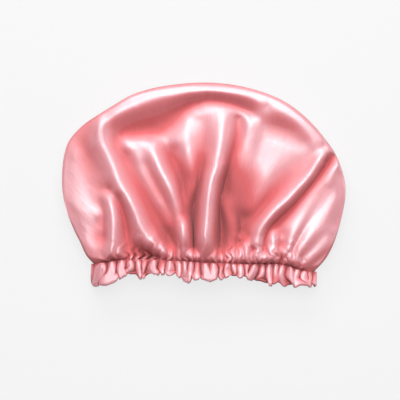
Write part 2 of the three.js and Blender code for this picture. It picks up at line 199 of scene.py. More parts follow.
# Flutes gathered into the mouth's seam: how many at the back, and for the front, from left to right,
# each flute's place across the seam and its share of the cloth
BACK_FLUTES = 25
FRONT_FLUTES = [
    (-109, 2.6), (-96, 1.0), (-86, 1.2), (-77, 1.2), (-69, 1.0), (-62, 0.8), (-52, 1.4), (-43.5, 0.8),
    (-36, 1.2), (-27, 1.0), (-21, 1.5), (-13, 1.1), (-7, 1.0), (0, 1.3), (10.5, 1.3), (18, 0.8),
    (25, 1.1), (31, 0.8), (38, 1.0), (45, 0.9), (54, 1.3), (62, 0.8), (69, 1.2), (76, 0.9),
    (83, 0.8), (91, 1.3), (99, 0.9), (107, 1.2),
]

# Lines of the crown's front: ridges and valleys of its folds, and the level of the cloth between them.
# Each has how softly the cloth rounds over it, how wide its top is, and its (across, up, height) points.
CLOTH_LINES = {
    "rim_edge": (7, 0, [
        (-131, 51, 35), (-118, 67, 40), (-99, 80, 44.5), (-75, 92, 46.5), (-47, 101, 46.5),
        (-15, 104, 45), (15, 104, 44.5), (43, 101, 45), (70, 92, 45.5), (91, 82, 45.5), (110, 66, 45),
        (125, 47, 42.5), (139, 28, 36),
    ]),
    "rim_and_left_ridge": (8, 9, [
        (125, 40, 42.5), (114, 55, 44.5), (102, 69, 46), (89, 80, 46.5), (75, 87, 46.5), (61, 92, 46.5),
        (43, 96, 46), (22, 99, 45.5), (1, 100, 45.5), (-15, 99, 46), (-35, 96, 47.5), (-57, 93, 48.5),
        (-73, 90, 48.5), (-87, 86, 48), (-99, 80, 47.5), (-106, 70, 47), (-109, 58, 46.5),
        (-107, 47, 45.5), (-103, 38, 45), (-98, 28, 44.5), (-90, 6, 44), (-85, -4, 44), (-78, -15, 43.5),
        (-71, -30, 43), (-64, -48, 42.5), (-54, -59, 42),
    ]),
    "left_ridge_outer": (7, 0, [(-96, 85, 45.5), (-107, 77, 44.5), (-114, 67, 43.5), (-117, 57, 42.5)]),
    "below_rim_left": (9, 0, [
        (-94, 51, 37), (-86, 53, 34.5), (-77, 55, 32.5), (-67, 57, 31), (-55, 58, 30.5),
    ]),
    "below_rim_middle_left": (8, 0, [
        (-46, 61, 31), (-37, 69, 32.5), (-30, 76, 33.5), (-21, 84, 35), (-13, 89, 36),
    ]),
    "below_rim_middle": (4, 0, [
        (-4, 90, 36.5), (5, 92, 37), (17, 90, 36.5), (30, 86, 36), (41, 81, 36), (50, 76, 37.5),
    ]),
    "arc_lip": (4, 0, [
        (0, 83, 39.5), (11, 84, 40), (23, 82, 40.5), (34, 78, 40.5), (45, 73, 40.5), (52, 70, 41),
    ]),
    "arc_end": (5, 0, [(58, 77, 43), (66, 83, 44.5)]),
    "below_rim_right": (8, 0, [(65, 64, 39.3), (75, 63, 38.3), (86, 60, 38.8), (94, 57, 40.3)]),
    "bulge_shoulder": (6, 0, [(-24, 65, 37.5), (-18, 72, 38.5), (-10, 78, 39.5)]),
    "central_ridge_top": (8, 13, [(19, 68, 43.5), (18, 57, 44.5), (17, 47, 45), (15, 35, 45)]),
    "central_ridge": (6, 15, [
        (13, 24, 45), (11, 16, 45), (8, 8, 45), (6, -4, 44.5), (4, -19, 44), (3, -36, 43.5),
        (2, -52, 43.5), (2, -71, 42.5),
    ]),
    "central_crease": (4, 0, [
        (37, 72, 36.5), (37, 61, 35.5), (35, 51, 34.8), (31, 38, 34.2), (26, 25, 33.5), (22, 13, 32.5),
        (19, 0, 31.5), (16, -19, 30), (16, -34, 27), (17, -49, 25.5), (17, -61, 27),
    ]),
    "right_panel_edge": (4, 0, [
        (43, 71, 41), (43, 61, 40.3), (42, 52, 39.5), (39, 40, 38.5), (34, 28, 37), (30, 13, 35.5),
        (29, -2, 34),
    ]),
    "right_panel": (8, 0, [
        (59, 53, 39), (57, 40, 37.8), (54, 23, 36.6), (51, 6, 35.6), (49, -11, 34.6), (48, -23, 33.3),
    ]),
    "right_panel_far": (8, 0, [(74, 47, 37.8), (89, 46, 38.3), (106, 46, 41)]),
    "right_panel_drop": (8, 0, [
        (104, 36, 40), (88, 31, 37.6), (75, 21, 36.7), (67, 8, 36), (61, -4, 35.2), (56, -17, 34.2),
        (51, -26, 33),
    ]),
    "right_valley": (9, 0, [
        (108, 26, 39.3), (98, 17, 37), (88, 6, 35), (78, -4, 33.3), (69, -16, 31.8), (59, -26, 30.3),
        (49, -37, 29), (39, -47, 28),
    ]),
    "long_right_ridge": (6, 7, [
        (131, 40, 40.5), (122, 28, 42.5), (114, 16, 42.5), (106, 5, 42.5), (95, -6, 42.5),
        (86, -16, 42.5), (75, -25, 42.5), (67, -34, 42.3), (61, -42, 42), (57, -51, 41.5), (56, -60, 41),
        (57, -69, 40.5),
    ]),
    "long_right_under": (2.5, 0, [
        (140, 33, 31), (130, 28, 30), (123, 19, 31), (116, 8, 32), (107, -3, 32), (98, -14, 32),
        (88, -24, 31.5), (79, -32, 31.5), (71, -40, 31.5), (66, -49, 32), (64, -57, 32), (63, -68, 31),
    ]),
    "right_low_slope": (5, 0, [
        (135, 15, 38), (125, 3, 38), (114, -8, 38), (104, -20, 37.5), (93, -33, 36.5), (85, -42, 35.5),
    ]),
    "right_low_ridge": (5, 4, [
        (127, -2, 36.5), (113, -17, 37.5), (105, -30, 38), (98, -43, 39), (91, -57, 39.5),
        (86, -72, 39.5),
    ]),
    "right_second_valley": (5, 0, [
        (123, -18, 36.3), (113, -32, 36.3), (105, -46, 36), (98, -58, 35), (91, -70, 34),
    ]),
    "right_second_ridge": (7, 6, [
        (135, -11, 35.2), (130, -23, 36), (122, -37, 37), (111, -51, 38.5), (101, -64, 39),
        (93, -74, 38.5),
    ]),
    "right_corner_valley": (6, 0, [(123, -53, 35.5), (111, -65, 35.5), (102, -75, 35)]),
    "right_corner_panel": (7, 4, [(134, -47, 34.3), (126, -59, 34.8), (117, -70, 35), (107, -80, 34.5)]),
    "right_edge": (7, 0, [
        (144, 13, 33), (146, -2, 32.5), (144, -18, 32), (139, -36, 31.5), (135, -51, 31.5),
    ]),
    "right_corner_tuck": (2.5, 0, [(135, -65, 31.5), (125, -73, 31), (114, -82, 30.5), (106, -88, 29.5)]),
    "left_flank": (6, 0, [(-116, 43, 43), (-111, 34, 42.5), (-107, 24, 42), (-103, 14, 41.5)]),
    "left_foot": (8, 0, [
        (-127, 53, 36.5), (-123, 43, 37), (-119, 32, 36.5), (-114, 20, 36.5), (-110, 8, 37),
    ]),
    "left_pillow": (8, 3, [(-135, 35, 35.6), (-132, 22, 34.8), (-129, 8, 34), (-121, 0, 34)]),
    "left_edge": (7, 0, [
        (-142, 38, 33), (-145, 19, 32.5), (-145, 0, 31.5), (-142, -19, 31), (-134, -42, 30.5),
        (-124, -68, 31), (-117, -81, 30.5),
    ]),
    "left_tuck": (3, 0, [(-117, -4, 34.5), (-106, -4, 35), (-99, -4, 36)]),
    "left_low_panel": (7, 3, [(-137, -17, 32.8), (-128, -23, 33.8), (-119, -30, 34.3), (-110, -29, 35)]),
    "left_low_patch": (6, 0, [(-127, -42, 32.5), (-118, -46, 32.8), (-108, -47, 33)]),
    "left_low_flat": (7, 3, [(-125, -57, 32.5), (-118, -65, 33.3), (-112, -72, 33)]),
    "small_left_ridge": (6, 6, [
        (-101, -10, 38.5), (-98, -18, 40), (-95, -33, 41), (-95, -49, 41), (-96, -70, 40),
    ]),
    "small_left_outer": (6, 0, [(-109, -13, 35), (-106, -23, 34), (-105, -36, 33), (-104, -55, 32)]),
    "small_left_inner": (6, 0, [
        (-89, -12, 36), (-86, -23, 32), (-83, -38, 30), (-82, -53, 29.5), (-83, -68, 31),
    ]),
    "hood_lip": (5, 2, [(-69, -52, 40.5), (-59, -60, 42), (-49, -67, 42), (-40, -71, 40.5)]),
    "hood_hollow": (2.5, 0, [(-70, -61, 33), (-63, -66, 27), (-55, -70, 24), (-49, -74, 27)]),
    "left_middle_valley": (13, 0, [
        (-93, 41, 35.5), (-87, 31, 35), (-77, 17, 34), (-68, 0, 33), (-60, -15, 31.5), (-54, -28, 30),
        (-48, -40, 28.5), (-40, -52, 28), (-32, -61, 29),
    ]),
    "blob": (6, 6, [(-83, 43, 40), (-75, 42, 41), (-66, 42, 41)]),
    "second_edge_ridge": (5, 0, [
        (-77, 36, 40), (-71, 25, 39.2), (-65, 14, 38.7), (-57, 1, 38.3), (-48, -15, 38), (-40, -26, 37.5),
        (-35, -40, 37),
    ]),
    "second_dip": (6, 0, [
        (-60, 22, 38.3), (-54, 8, 37), (-45, -8, 36.5), (-36, -25, 35.5), (-31, -39, 35),
    ]),
    "second_ridge": (9, 12, [
        (-57, 39, 41.5), (-51, 30, 42), (-47, 19, 42), (-40, 6, 42), (-35, -4, 42), (-31, -15, 41.5),
        (-26, -28, 41.5), (-23, -39, 41), (-21, -51, 41), (-18, -70, 40.5),
    ]),
    "second_side": (7, 0, [(-47, 46, 37.5), (-32, 47, 38)]),
    "middle_valley": (10, 0, [
        (-42, 35, 34.5), (-36, 24, 32.5), (-30, 13, 31), (-24, -2, 30), (-21, -15, 30), (-19, -26, 31),
    ]),
    "thin_middle_ridge": (6, 5, [
        (-13, 70, 39), (-17, 61, 40), (-18, 51, 40.5), (-17, 38, 40), (-15, 28, 40), (-12, 17, 39.5),
        (-10, 6, 38.5), (-13, -4, 38), (-16, -17, 36.5), (-18, -32, 35),
    ]),
    "central_left_valley": (5, 0, [
        (-1, 69, 39.5), (-1, 54, 38.5), (-1, 38, 37.5), (-1, 24, 36), (-3, 12, 33.5), (-6, -4, 29.5),
        (-11, -19, 25.5), (-13, -34, 22), (-12, -49, 21), (-11, -64, 23),
    ]),
    "middle_low_ridge": (4, 3, [
        (18, -13, 34.5), (22, -21, 36.5), (26, -29, 37.3), (29, -37, 37.5), (31, -48, 36.5),
        (30, -58, 36.5), (26, -70, 38.5),
    ]),
    "dark_v": (5, 0, [(35, -23, 32), (36, -35, 27.5), (38, -46, 25.5), (37, -57, 27)]),
    "tube_ridge": (3, 2, [(38, -55, 35), (42, -61, 38.5), (47, -68, 39.5), (52, -75, 39.5)]),
    "arch_hollow": (3, 0, [(47, -53, 33), (49, -60, 31), (51, -67, 31.5)]),
    "lobe_ridge": (5, 5, [(72, -49, 37.5), (72, -57, 40), (71, -66, 41.5), (71, -74, 41.5)]),
    "lobe_valley": (4, 0, [(81, -51, 33), (81, -61, 31), (82, -74, 30.5)]),
}
LINE_STEP = 6.0
LINE_SLACK = 0.6


def front_height(x, y):
    """Height of the crown's front over points of the plan, a smooth sheet through all the cloth lines."""
    knots = []
    for rounding, width, line in CLOTH_LINES.values():
        length = step_lengths(np.array(line)[:, :2]).sum()
        path = spline(line, max(2, int(length / min(LINE_STEP, 2 * rounding))))
        aside = left_of(path[:, :2])
        for side in (-0.5, 0.5) if width else (0,):
            place = path[:, :2] + side * width * aside
            knots.append(np.column_stack([place, path[:, 2], np.full(len(path), rounding)]))
    knots = np.vstack(knots)
    apart = np.hypot(knots[:, None, 0] - knots[None, :, 0], knots[:, None, 1] - knots[None, :, 1])
    kernel = np.sqrt(apart**2 + knots[None, :, 3] ** 2)
    level = knots[:, 2].mean()
    kernel[np.diag_indices(len(knots))] -= LINE_SLACK
    weights = np.linalg.solve(kernel, knots[:, 2] - level)
    height = np.full(x.shape, level)
    for (kx, ky, _, rounding), weight in zip(knots, weights):
        height += weight * np.sqrt((x - kx) ** 2 + (y - ky) ** 2 + rounding**2)
    return height


# Folds: how far their ridges swell sideways, and how nearly the valleys may close
FOLD_SWELL = 0.8
FOLD_CLOSE = 0.9
LEAST_AREA = 1e-4


def slope_of(plan, value):
    """Slope of a value over the plan, from a grid of plan points."""
    du, dv = np.gradient(plan, axis=0), np.gradient(plan, axis=1)
    hu, hv = np.gradient(value, axis=0), np.gradient(value, axis=1)
    area = du[..., 0] * dv[..., 1] - du[..., 1] * dv[..., 0]
    area = np.where(np.abs(area) < LEAST_AREA, LEAST_AREA, area)
    return np.stack([
        (hu * dv[..., 1] - hv * du[..., 1]) / area,
        (hv * du[..., 0] - hu * dv[..., 0]) / area,
    ], axis=-1)


def downhill(plan, height):
    """Sideways shift that swells the ridges and closes the valleys between them, as folded cloth does."""
    slope = slope_of(plan, height)
    bend = slope_of(plan, slope[..., 0])
    other = slope_of(plan, slope[..., 1])
    mean = 0.5 * (bend[..., 0] + other[..., 1])
    twist = np.maximum(bend[..., 1] * other[..., 0], 0)
    spread = np.sqrt(0.25 * (bend[..., 0] - other[..., 1]) ** 2 + twist)
    hollow = np.maximum(mean + spread, 0)
    swell = FOLD_SWELL / (1 + (FOLD_SWELL * hollow / FOLD_CLOSE) ** 4) ** 0.25
    return -swell[..., None] * slope


# Gathers of the crown's front at the seam, one for each flute
GATHER_STRAY = 3.0
STRAY_PATCH = (9.0, 6.0)
GATHER_UNEVEN = 0.5
UNEVEN_PATCH = (7.0, 30.0)
GATHER_RISE = 3.2
GATHER_FADE = 7.0
GATHER_TURN = 0.5
GATHER_EDGE = 3.6
GATHER_DIP = -0.3
GATHER_OVER = 0.8
GATHER_ALL = 0.4
GATHER_BULGE = 4.0


def seam_gathers(x, from_seam):
    """About one on the crest of each flute of the front and minus one between flutes, a little uneven."""
    places = [flute[0] for flute in FRONT_FLUTES]
    stray = smooth_noise(5, x / STRAY_PATCH[0], from_seam / STRAY_PATCH[1])
    running = np.interp(x + GATHER_STRAY * stray, places, np.arange(len(places)))
    uneven = smooth_noise(6, x / UNEVEN_PATCH[0], from_seam / UNEVEN_PATCH[1])
    return np.cos(2 * math.pi * running) * (1 + GATHER_UNEVEN * uneven)


# Crown's front: its rows crowd where the cloth turns in at the seam and under at the rim
TURN_ROWS = 25
SEAM_SHARE = 0.08
RIM_SHARE = 0.1
RIM_TURN = 4.5
RIM_PART = 0.6
RIM_LEVEL = 30.0
RIM_REACH = 90.0
SEAM_TURN = 10.0
SEAM_PART = 0.4
SHORT_COLUMN = 30.0
LONG_COLUMN = 80.0
SWELL_FROM = 2.0
SWELL_FULL = 25.0


def crown_front(rim, top, level):
    """Rows of the crown's front, from the seam at the mouth up to the rim."""
    turn = np.linspace(0, math.pi / 2, TURN_ROWS)
    share = np.concatenate([
        SEAM_SHARE * (1 - np.cos(turn)),
        np.linspace(SEAM_SHARE, 1 - RIM_SHARE, FRONT_ROWS + 2 - 2 * TURN_ROWS)[1:-1],
        1 - RIM_SHARE + RIM_SHARE * np.sin(turn),
    ])[None, :, None]
    start, end = top[:, None, :], np.concatenate([rim, level], axis=1)[:, None, :]
    front = lerp(start, end, share)
    from_seam = np.linalg.norm(front[..., :2] - start[..., :2], axis=-1)
    from_rim = np.linalg.norm(front[..., :2] - end[..., :2], axis=-1)
    length = from_seam[:, -1:]
    roomy = smoothstep(length, SHORT_COLUMN, LONG_COLUMN)
    gather = seam_gathers(front[..., 0], from_seam)
    height = front_height(front[..., 0], front[..., 1])
    height += GATHER_RISE * gather * np.exp(-from_seam / GATHER_FADE)
    up_from_rim = quarter_turn(from_rim, np.minimum(RIM_TURN, RIM_PART * length))
    seam_turn = np.minimum(SEAM_TURN * (1 + GATHER_TURN * gather), SEAM_PART * length)
    up_from_seam = 1 - (1 - np.clip(from_seam / seam_turn, 0, 1)) ** 2
    seam_level = lerp(start[..., 2], height, up_from_seam)
    folded = lerp(end[..., 2], seam_level, up_from_rim)
    rounded = lerp(start[..., 2], end[..., 2], 1 - np.sqrt(1 - share[..., 0] ** 2))
    front[..., 2] = lerp(rounded, folded, smoothstep(length, MOUTH_TURN, 3 * MOUTH_TURN))
    raised = np.maximum(gather, GATHER_DIP) * np.exp(-from_seam / SEAM_TURN)
    front[..., 2] += GATHER_EDGE * raised * roomy
    free = smoothstep(from_seam, 0, SEAM_TURN) * smoothstep(from_rim, SWELL_FROM, SWELL_FULL)
    front[..., :2] += free[..., None] * downhill(front[..., :2], height)
    bulge = from_seam / GATHER_BULGE * np.exp(1 - from_seam / GATHER_BULGE)
    front[..., 1] -= GATHER_OVER * (GATHER_ALL + (1 - GATHER_ALL) * gather) * bulge * roomy
    return front


# Crown's back: a creased wall below the rim, then cloth that lies on the table and lifts to the mouth
CLOTH = 0.3
UNDER_ROUNDING = 26.0
UNDER_TURN = 24.0
WALL_ROWS = 24
SIDE_RISE = 3.6
SIDE_DRAWN = 0.8
SIDE_LEAN = 0.4
SIDE_CREASE = (17.0, 55.0)
FINE_CREASE = (9.0, 30.0)
FINE_SHARE = 0.5
CREASE_BELOW_RIM = (0.0, 14.0)
CREASE_OFF_SEAM = (4.0, 30.0)
CREASE_UP = (30.0, 50.0)
CREASE_OUT = (38.0, 60.0)
BACK_GATHER = 2.2
BACK_GATHER_FADE = 16.0
BACK_GATHER_START = 8.0
BACK_STRAY = 2.0
BACK_STRAY_PATCHES = 15


def crown_back(rim, low, level, across):
    """Rows of the crown's back, from below the rim to the seam at the mouth."""
    span = np.linalg.norm(rim - low[:, :2], axis=1)[:, None]
    flat = smoothstep(span, 2 * MOUTH_TURN, 8 * MOUTH_TURN)
    rim_width, seam_width = np.minimum(UNDER_ROUNDING, span / 2), np.minimum(UNDER_TURN, span / 2)
    bend = np.linspace(0, math.pi / 2, WALL_ROWS + 1)[1:]
    rest = np.linspace(0, 1, BACK_ROWS - WALL_ROWS + 1)[1:]
    to_rim = np.concatenate([rim_width * (1 - np.cos(bend)), lerp(rim_width, span, rest)], axis=1)
    back_share = 1 - to_rim / span
    to_seam = span - to_rim
    inner = np.clip(1 - to_rim / rim_width, 0, 1)
    rim_part = 1 - np.sqrt(1 - inner**2)
    seam_part = 1 - smoothstep(to_seam, 0, seam_width)
    lying = CLOTH + (level - CLOTH) * rim_part + (MOUTH_LIE - CLOTH) * seam_part
    turned = MOUTH_LIE + (level - MOUTH_LIE) * (1 - np.sqrt(1 - back_share**2))
    back_xy = lerp(low[:, None, :2], rim[:, None, :], back_share[..., None])
    back = np.concatenate([back_xy, lerp(turned, lying, flat)[..., None]], axis=-1)

    run = np.arccos(inner) * rim_width + np.maximum(to_rim - rim_width, 0)
    lean = running_total(step_lengths(rim))[:, None] + SIDE_LEAN * run
    creases = smooth_noise(21, lean / SIDE_CREASE[0], run / SIDE_CREASE[1])
    creases += FINE_SHARE * smooth_noise(22, lean / FINE_CREASE[0], run / FINE_CREASE[1])
    below_rim = smoothstep(run, *CREASE_BELOW_RIM)
    creases *= below_rim * smoothstep(to_seam, *CREASE_OFF_SEAM) * flat
    back[..., 2] += SIDE_RISE * np.maximum(creases, 0) * smoothstep(run, *CREASE_UP)
    stray = BACK_STRAY * smooth_noise(23, across[:, None] * BACK_STRAY_PATCHES)
    pucker = np.cos(2 * math.pi * BACK_FLUTES * across[:, None] + stray)
    started = smoothstep(to_seam, 0, BACK_GATHER_START)
    back[..., 2] += BACK_GATHER * (pucker * np.exp(-to_seam / BACK_GATHER_FADE) * started * flat)
    back[..., 2] = np.maximum(back[..., 2], CLOTH)
    wall = SIDE_RISE * (creases - SIDE_DRAWN * below_rim * flat) * (1 - smoothstep(run, *CREASE_OUT))
    back[..., :2] += wall[..., None] * left_of(rim)[:, None, :]
    return back


# Crown's edges, tucked a little way into the band's seam
SEAM_TUCK = 2.2
TUCK_ROWS = 3
TUCK_BELOW = 0.2
TUCK_ABOVE = 0.5


def crown_points():
    """The crown's cloth: each column runs from the mouth over the rim and back under to the mouth."""
    across = np.linspace(0, 1, COLUMNS + 1)
    rim = spline(OUTLINE, COLUMNS + 1)
    top, low = upper_edge(across), lower_edge(across)
    reach = np.linalg.norm(rim - top[:, :2], axis=1, keepdims=True)
    level = lerp(MOUTH_MID, RIM_LEVEL, smoothstep(reach, 0, RIM_REACH))
    front = crown_front(rim, top, level)
    back = crown_back(rim, low, level, across)
    tuck = np.linspace(SEAM_TUCK, 0, TUCK_ROWS + 1)[:-1]
    sewn = np.column_stack([front[:, 0, :2], np.maximum(front[:, 0, 2], top[:, 2])])
    into_band = np.stack([sewn - (0, drop, TUCK_BELOW) for drop in tuck], axis=1)
    under_band = np.stack([back[:, -1] - (0, drop, -TUCK_ABOVE) for drop in tuck[::-1]], axis=1)
    return np.concatenate([into_band, front, back, under_band], axis=1)


# How deep cloth lies in its folds, for painted shade in its colour and for its sheen
HOLLOW_SLOPE = 0.27
HOLLOW_DEPTH = 16.0
PUCKER_DEPTH = 8.0
PUCKER_NEAR = 3.0
PUCKER_FAR = 15.0


def fold_hollows(points, slope, depth, axes=(0, 1)):
    """How deep each point of a sheet lies in a fold, nought on open cloth and one far down."""
    level = points[..., 2]
    cover = level.copy()
    for axis in axes:
        lines = np.moveaxis(cover, axis, 0)
        gaps = np.linalg.norm(np.diff(np.moveaxis(points[..., :2], axis, 0), axis=0), axis=-1)
        for k in range(1, len(lines)):
            lines[k] = np.maximum(lines[k], lines[k - 1] - slope * gaps[k - 1])
        for k in range(len(lines) - 2, -1, -1):
            lines[k] = np.maximum(lines[k], lines[k + 1] - slope * gaps[k])
    return np.clip((cover - level) / depth, 0, 1)


# Painted shade on cloth that faces the mouth, the side turned from the back lamp
AWAY_FROM = 0.08
AWAY_FULL = 0.5
AWAY_SHADE = 0.36
LEAST_LENGTH = 1e-9


def turned_away(points):
    """How far each point of a sheet faces the mouth, away from the back lamp: painted shade there, and
    less sheen.
    """
    normal = np.cross(np.gradient(points, axis=0), np.gradient(points, axis=1))
    normal /= np.maximum(np.linalg.norm(normal, axis=-1, keepdims=True), LEAST_LENGTH)
    toward_mouth = -normal[..., 1] * np.sign(normal[..., 2])
    return AWAY_SHADE * smoothstep(toward_mouth, AWAY_FROM, AWAY_FULL)


def crown_shade_and_dullness(points):
    """Painted shade and dulling for the crown's cloth: in its folds, in the seam's puckers and where it
    faces the mouth.
    """
    folds = fold_hollows(points, HOLLOW_SLOPE, HOLLOW_DEPTH)
    puckers = fold_hollows(points, HOLLOW_SLOPE, PUCKER_DEPTH, axes=(0,))
    from_seam = np.linalg.norm(points - points[:, TUCK_ROWS:TUCK_ROWS + 1], axis=-1)
    off_seam = smoothstep(from_seam, PUCKER_NEAR, PUCKER_FAR)
    return np.maximum(lerp(puckers, folds, off_seam), turned_away(points))


# Sheets of cloth
def sheet_object(name, points, uv, hollow, closed_rows=False):
    """A sheet of quads from a grid of points, with a UV map in metres and a painted-shade amount for each
    point, also used for its sheen.
    """
    rows, columns = points.shape[:2]
    index = np.arange(rows * columns).reshape(rows, columns)
    if closed_rows:
        index = np.vstack([index, index[:1]])
        uv = np.concatenate([uv, uv[:1] + np.array([uv[1, 0, 0] - uv[0, 0, 0], 0]) * rows], axis=0)
    a, b, c, d = index[:-1, :-1], index[1:, :-1], index[1:, 1:], index[:-1, 1:]
    faces = np.stack([a, b, c, d], axis=-1).reshape(-1, 4)
    mesh = bpy.data.meshes.new(name)
    mesh.from_pydata((points.reshape(-1, 3) * MM).tolist(), [], faces.tolist())
    corner = np.stack([uv[:-1, :-1], uv[1:, :-1], uv[1:, 1:], uv[:-1, 1:]], axis=2).reshape(-1, 2)
    layer = mesh.uv_layers.new(name="cloth")
    layer.data.foreach_set("uv", (corner * MM).ravel())
    mesh.attributes.new("hollow", "FLOAT", "POINT").data.foreach_set("value", hollow.ravel())
    mesh.polygons.foreach_set("use_smooth", [True] * len(mesh.polygons))
    piece = bpy.data.objects.new(name, mesh)
    scene.collection.objects.link(piece)
    return piece


def cloth_uv(points):
    """Lengths along the cloth in both directions, in millimetres."""
    across = np.linalg.norm(np.diff(points, axis=0), axis=-1).mean(axis=1)
    along = np.linalg.norm(np.diff(points, axis=1), axis=-1).mean(axis=0)
    return np.stack(np.meshgrid(running_total(across), running_total(along), indexing="ij"), axis=-1)


# Elastic's place in the band and round the mouth
ELASTIC_TOP = 2.4
ELASTIC_WIDTH = 10.0
ELASTIC_LOW = ELASTIC_TOP + ELASTIC_WIDTH
ELASTIC_LAP = 14.0
ELASTIC_CLEAR = 0.8
LAP_MIDDLE = 3 * MOUTH_STRAIGHT + math.pi * MOUTH_TURN
LAP_CLEAR = 0.9


def mouth_loop(t):
    """Points and outward directions of the mouth's loop, at lengths t along it."""
    straight = 2 * MOUTH_STRAIGHT
    bend = math.pi * MOUTH_TURN
    t = np.mod(t, 2 * (straight + bend))
    on_front = t < straight
    on_right = (t >= straight) & (t < straight + bend)
    on_back = (t >= straight + bend) & (t < 2 * straight + bend)
    on_left = t >= 2 * straight + bend
    angle = np.where(on_front, 0, np.where(on_right, (t - straight) / MOUTH_TURN, math.pi))
    angle = np.where(on_left, math.pi + (t - 2 * straight - bend) / MOUTH_TURN, angle)
    along = np.where(on_front, t - MOUTH_STRAIGHT, MOUTH_STRAIGHT)
    along = np.where(on_back, MOUTH_STRAIGHT - (t - straight - bend), along)
    along = np.where(on_left, -MOUTH_STRAIGHT, along)
    out = np.stack([np.sin(angle), np.cos(angle)], axis=-1)
    x = along + MOUTH_TURN * out[..., 0]
    z = MOUTH_MID + MOUTH_TURN * out[..., 1] + np.where(on_front, mouth_arch(x), 0)
    return np.stack([x, z], axis=-1), out


# Casing band: a strip longer than the mouth, gathered into its seam in flutes
BAND_FLAT = 750.0
BAND_FACE = 18.0
BAND_STEP = 0.9
FACE_ROWS = 18
END_FLUTES = 3
RIGHT_END_PLACE = 0.6
RIGHT_END_SHARE = 1.0
LEFT_END_PLACE = 0.35
LEFT_END_SHARE = 1.2
BACK_FLUTE_WIDTHS = (0.65, 1.45)
BACK_FLUTE_SHARES = (0.35, 0.65)


def flute_table():
    """Place along the mouth and share of the cloth of every flute."""
    rng = np.random.default_rng(7)
    straight = 2 * MOUTH_STRAIGHT
    bend = math.pi * MOUTH_TURN
    rows = [(x + MOUTH_STRAIGHT, share) for x, share in FRONT_FLUTES]
    for k in range(END_FLUTES):
        rows.append((straight + bend * (k + RIGHT_END_PLACE) / END_FLUTES, RIGHT_END_SHARE))
    widths = rng.uniform(*BACK_FLUTE_WIDTHS, BACK_FLUTES)
    places = straight + bend + straight * (np.cumsum(widths) - 0.5 * widths) / widths.sum()
    rows += [(t, rng.uniform(*BACK_FLUTE_SHARES)) for t in places]
    for k in range(END_FLUTES):
        rows.append((2 * straight + bend * (1 + (k + LEFT_END_PLACE) / END_FLUTES), LEFT_END_SHARE))
    return np.array(rows)


# How the strip's threads and stiffness hold it, and how it settles
SHEAR = 0.6
BEND_ROUND = 0.05
BEND_DOWN = 0.15
SETTLE_ROUNDS = 120
TUG_OUT = 0.5
FLUTE_GAP = 1.1
GAP_GIVE = 0.5
GAP_STEPS = range(5, 20)
FLUTE_PUFF = 0.03
LEAST_APART = 1e-6


def strip_joins(columns, rows):
    """Pairs of points of a closed strip that hold each other apart, in groups without repeats."""
    ring, down = np.arange(columns), np.arange(rows)
    step, drop = BAND_FLAT / columns, BAND_FACE / (rows - 1)
    joins = []
    for odd in (0, 1):
        lower = down[odd:-1:2]
        around = ring[odd::2]
        joins.append((np.ix_(around, down), np.ix_((around + 1) % columns, down), step, 1.0))
        joins.append((np.ix_(ring, lower), np.ix_(ring, lower + 1), drop, 1.0))
        bent = ring[ring % 4 // 2 == odd]
        joins.append((np.ix_(bent, down), np.ix_((bent + 2) % columns, down), 2 * step, BEND_ROUND))
        bent = down[:-2][down[:-2] % 4 // 2 == odd]
        joins.append((np.ix_(ring, bent), np.ix_(ring, bent + 2), 2 * drop, BEND_DOWN))
        for across in (0, 1):
            around = ring[across::2]
            slant = math.hypot(step, drop)
            joins.append((np.ix_(around, lower), np.ix_((around + 1) % columns, lower + 1), slant, SHEAR))
            joins.append((np.ix_(around, lower + 1), np.ix_((around + 1) % columns, lower), slant, SHEAR))
    return joins


def moved_apart(delta, rest, give):
    """Half the move that brings two points of the strip to their resting distance."""
    delta[..., 0] -= MOUTH_ROUND * np.round(delta[..., 0] / MOUTH_ROUND)
    apart = np.maximum(np.linalg.norm(delta, axis=-1, keepdims=True), LEAST_APART)
    return 0.5 * give * (1 - rest / apart) * delta, apart


def settle(grid, sewn, limit, tugs):
    """Settles a strip in place, off the elastic, the table and itself.

    Its threads keep their length, its bends open out, and its sewn edge stays where it is.
    """
    joins = strip_joins(*grid.shape[:2])
    for _ in range(SETTLE_ROUNDS):
        grid[..., 0] += tugs[0]
        grid[..., 1] += TUG_OUT * tugs[1]
        for first, second, rest, give in joins:
            pull, _ = moved_apart(grid[second] - grid[first], rest, give)
            grid[first] += pull
            grid[second] -= pull
        for step in GAP_STEPS:
            pull, apart = moved_apart(np.roll(grid, -step, axis=0) - grid, FLUTE_GAP, GAP_GIVE)
            pull = np.where(apart < FLUTE_GAP, pull, 0)
            grid += pull - np.roll(pull, step, axis=0)
        ahead = np.roll(grid, -1, axis=0) - np.roll(grid, 1, axis=0)
        ahead[..., 0] = np.mod(ahead[..., 0] + 0.5 * MOUTH_ROUND, MOUTH_ROUND) - 0.5 * MOUTH_ROUND
        puff = FLUTE_PUFF / np.linalg.norm(ahead[..., :2], axis=-1)
        grid[..., 0] -= puff * ahead[..., 1]
        grid[..., 1] += puff * ahead[..., 0]
        grid[..., 1] = np.clip(grid[..., 1], ELASTIC_CLEAR, limit)
        grid[:, 0] = sewn


# Flutes as they start: how full, how high, how uneven, and what tugs at them
SHARE_POWER = 0.8
LEAST_FULLNESS = 0.05
FLUTE_AT_SEAM = 1.0
FLUTE_LIMIT = 9.0
UNDER_FLUTE_LIMIT = 5.0
FLUTE_LEAN = 5.0
LEAN_PACE = 0.8
FINE_LEAN = 2.5
FINE_LEAN_PACE = 2.3
FLUTE_UNEVEN = 0.4
UNEVEN_PACE = 0.6
FLUTE_TUG = 0.08
TUG_PACE = (1.4, 2.5)


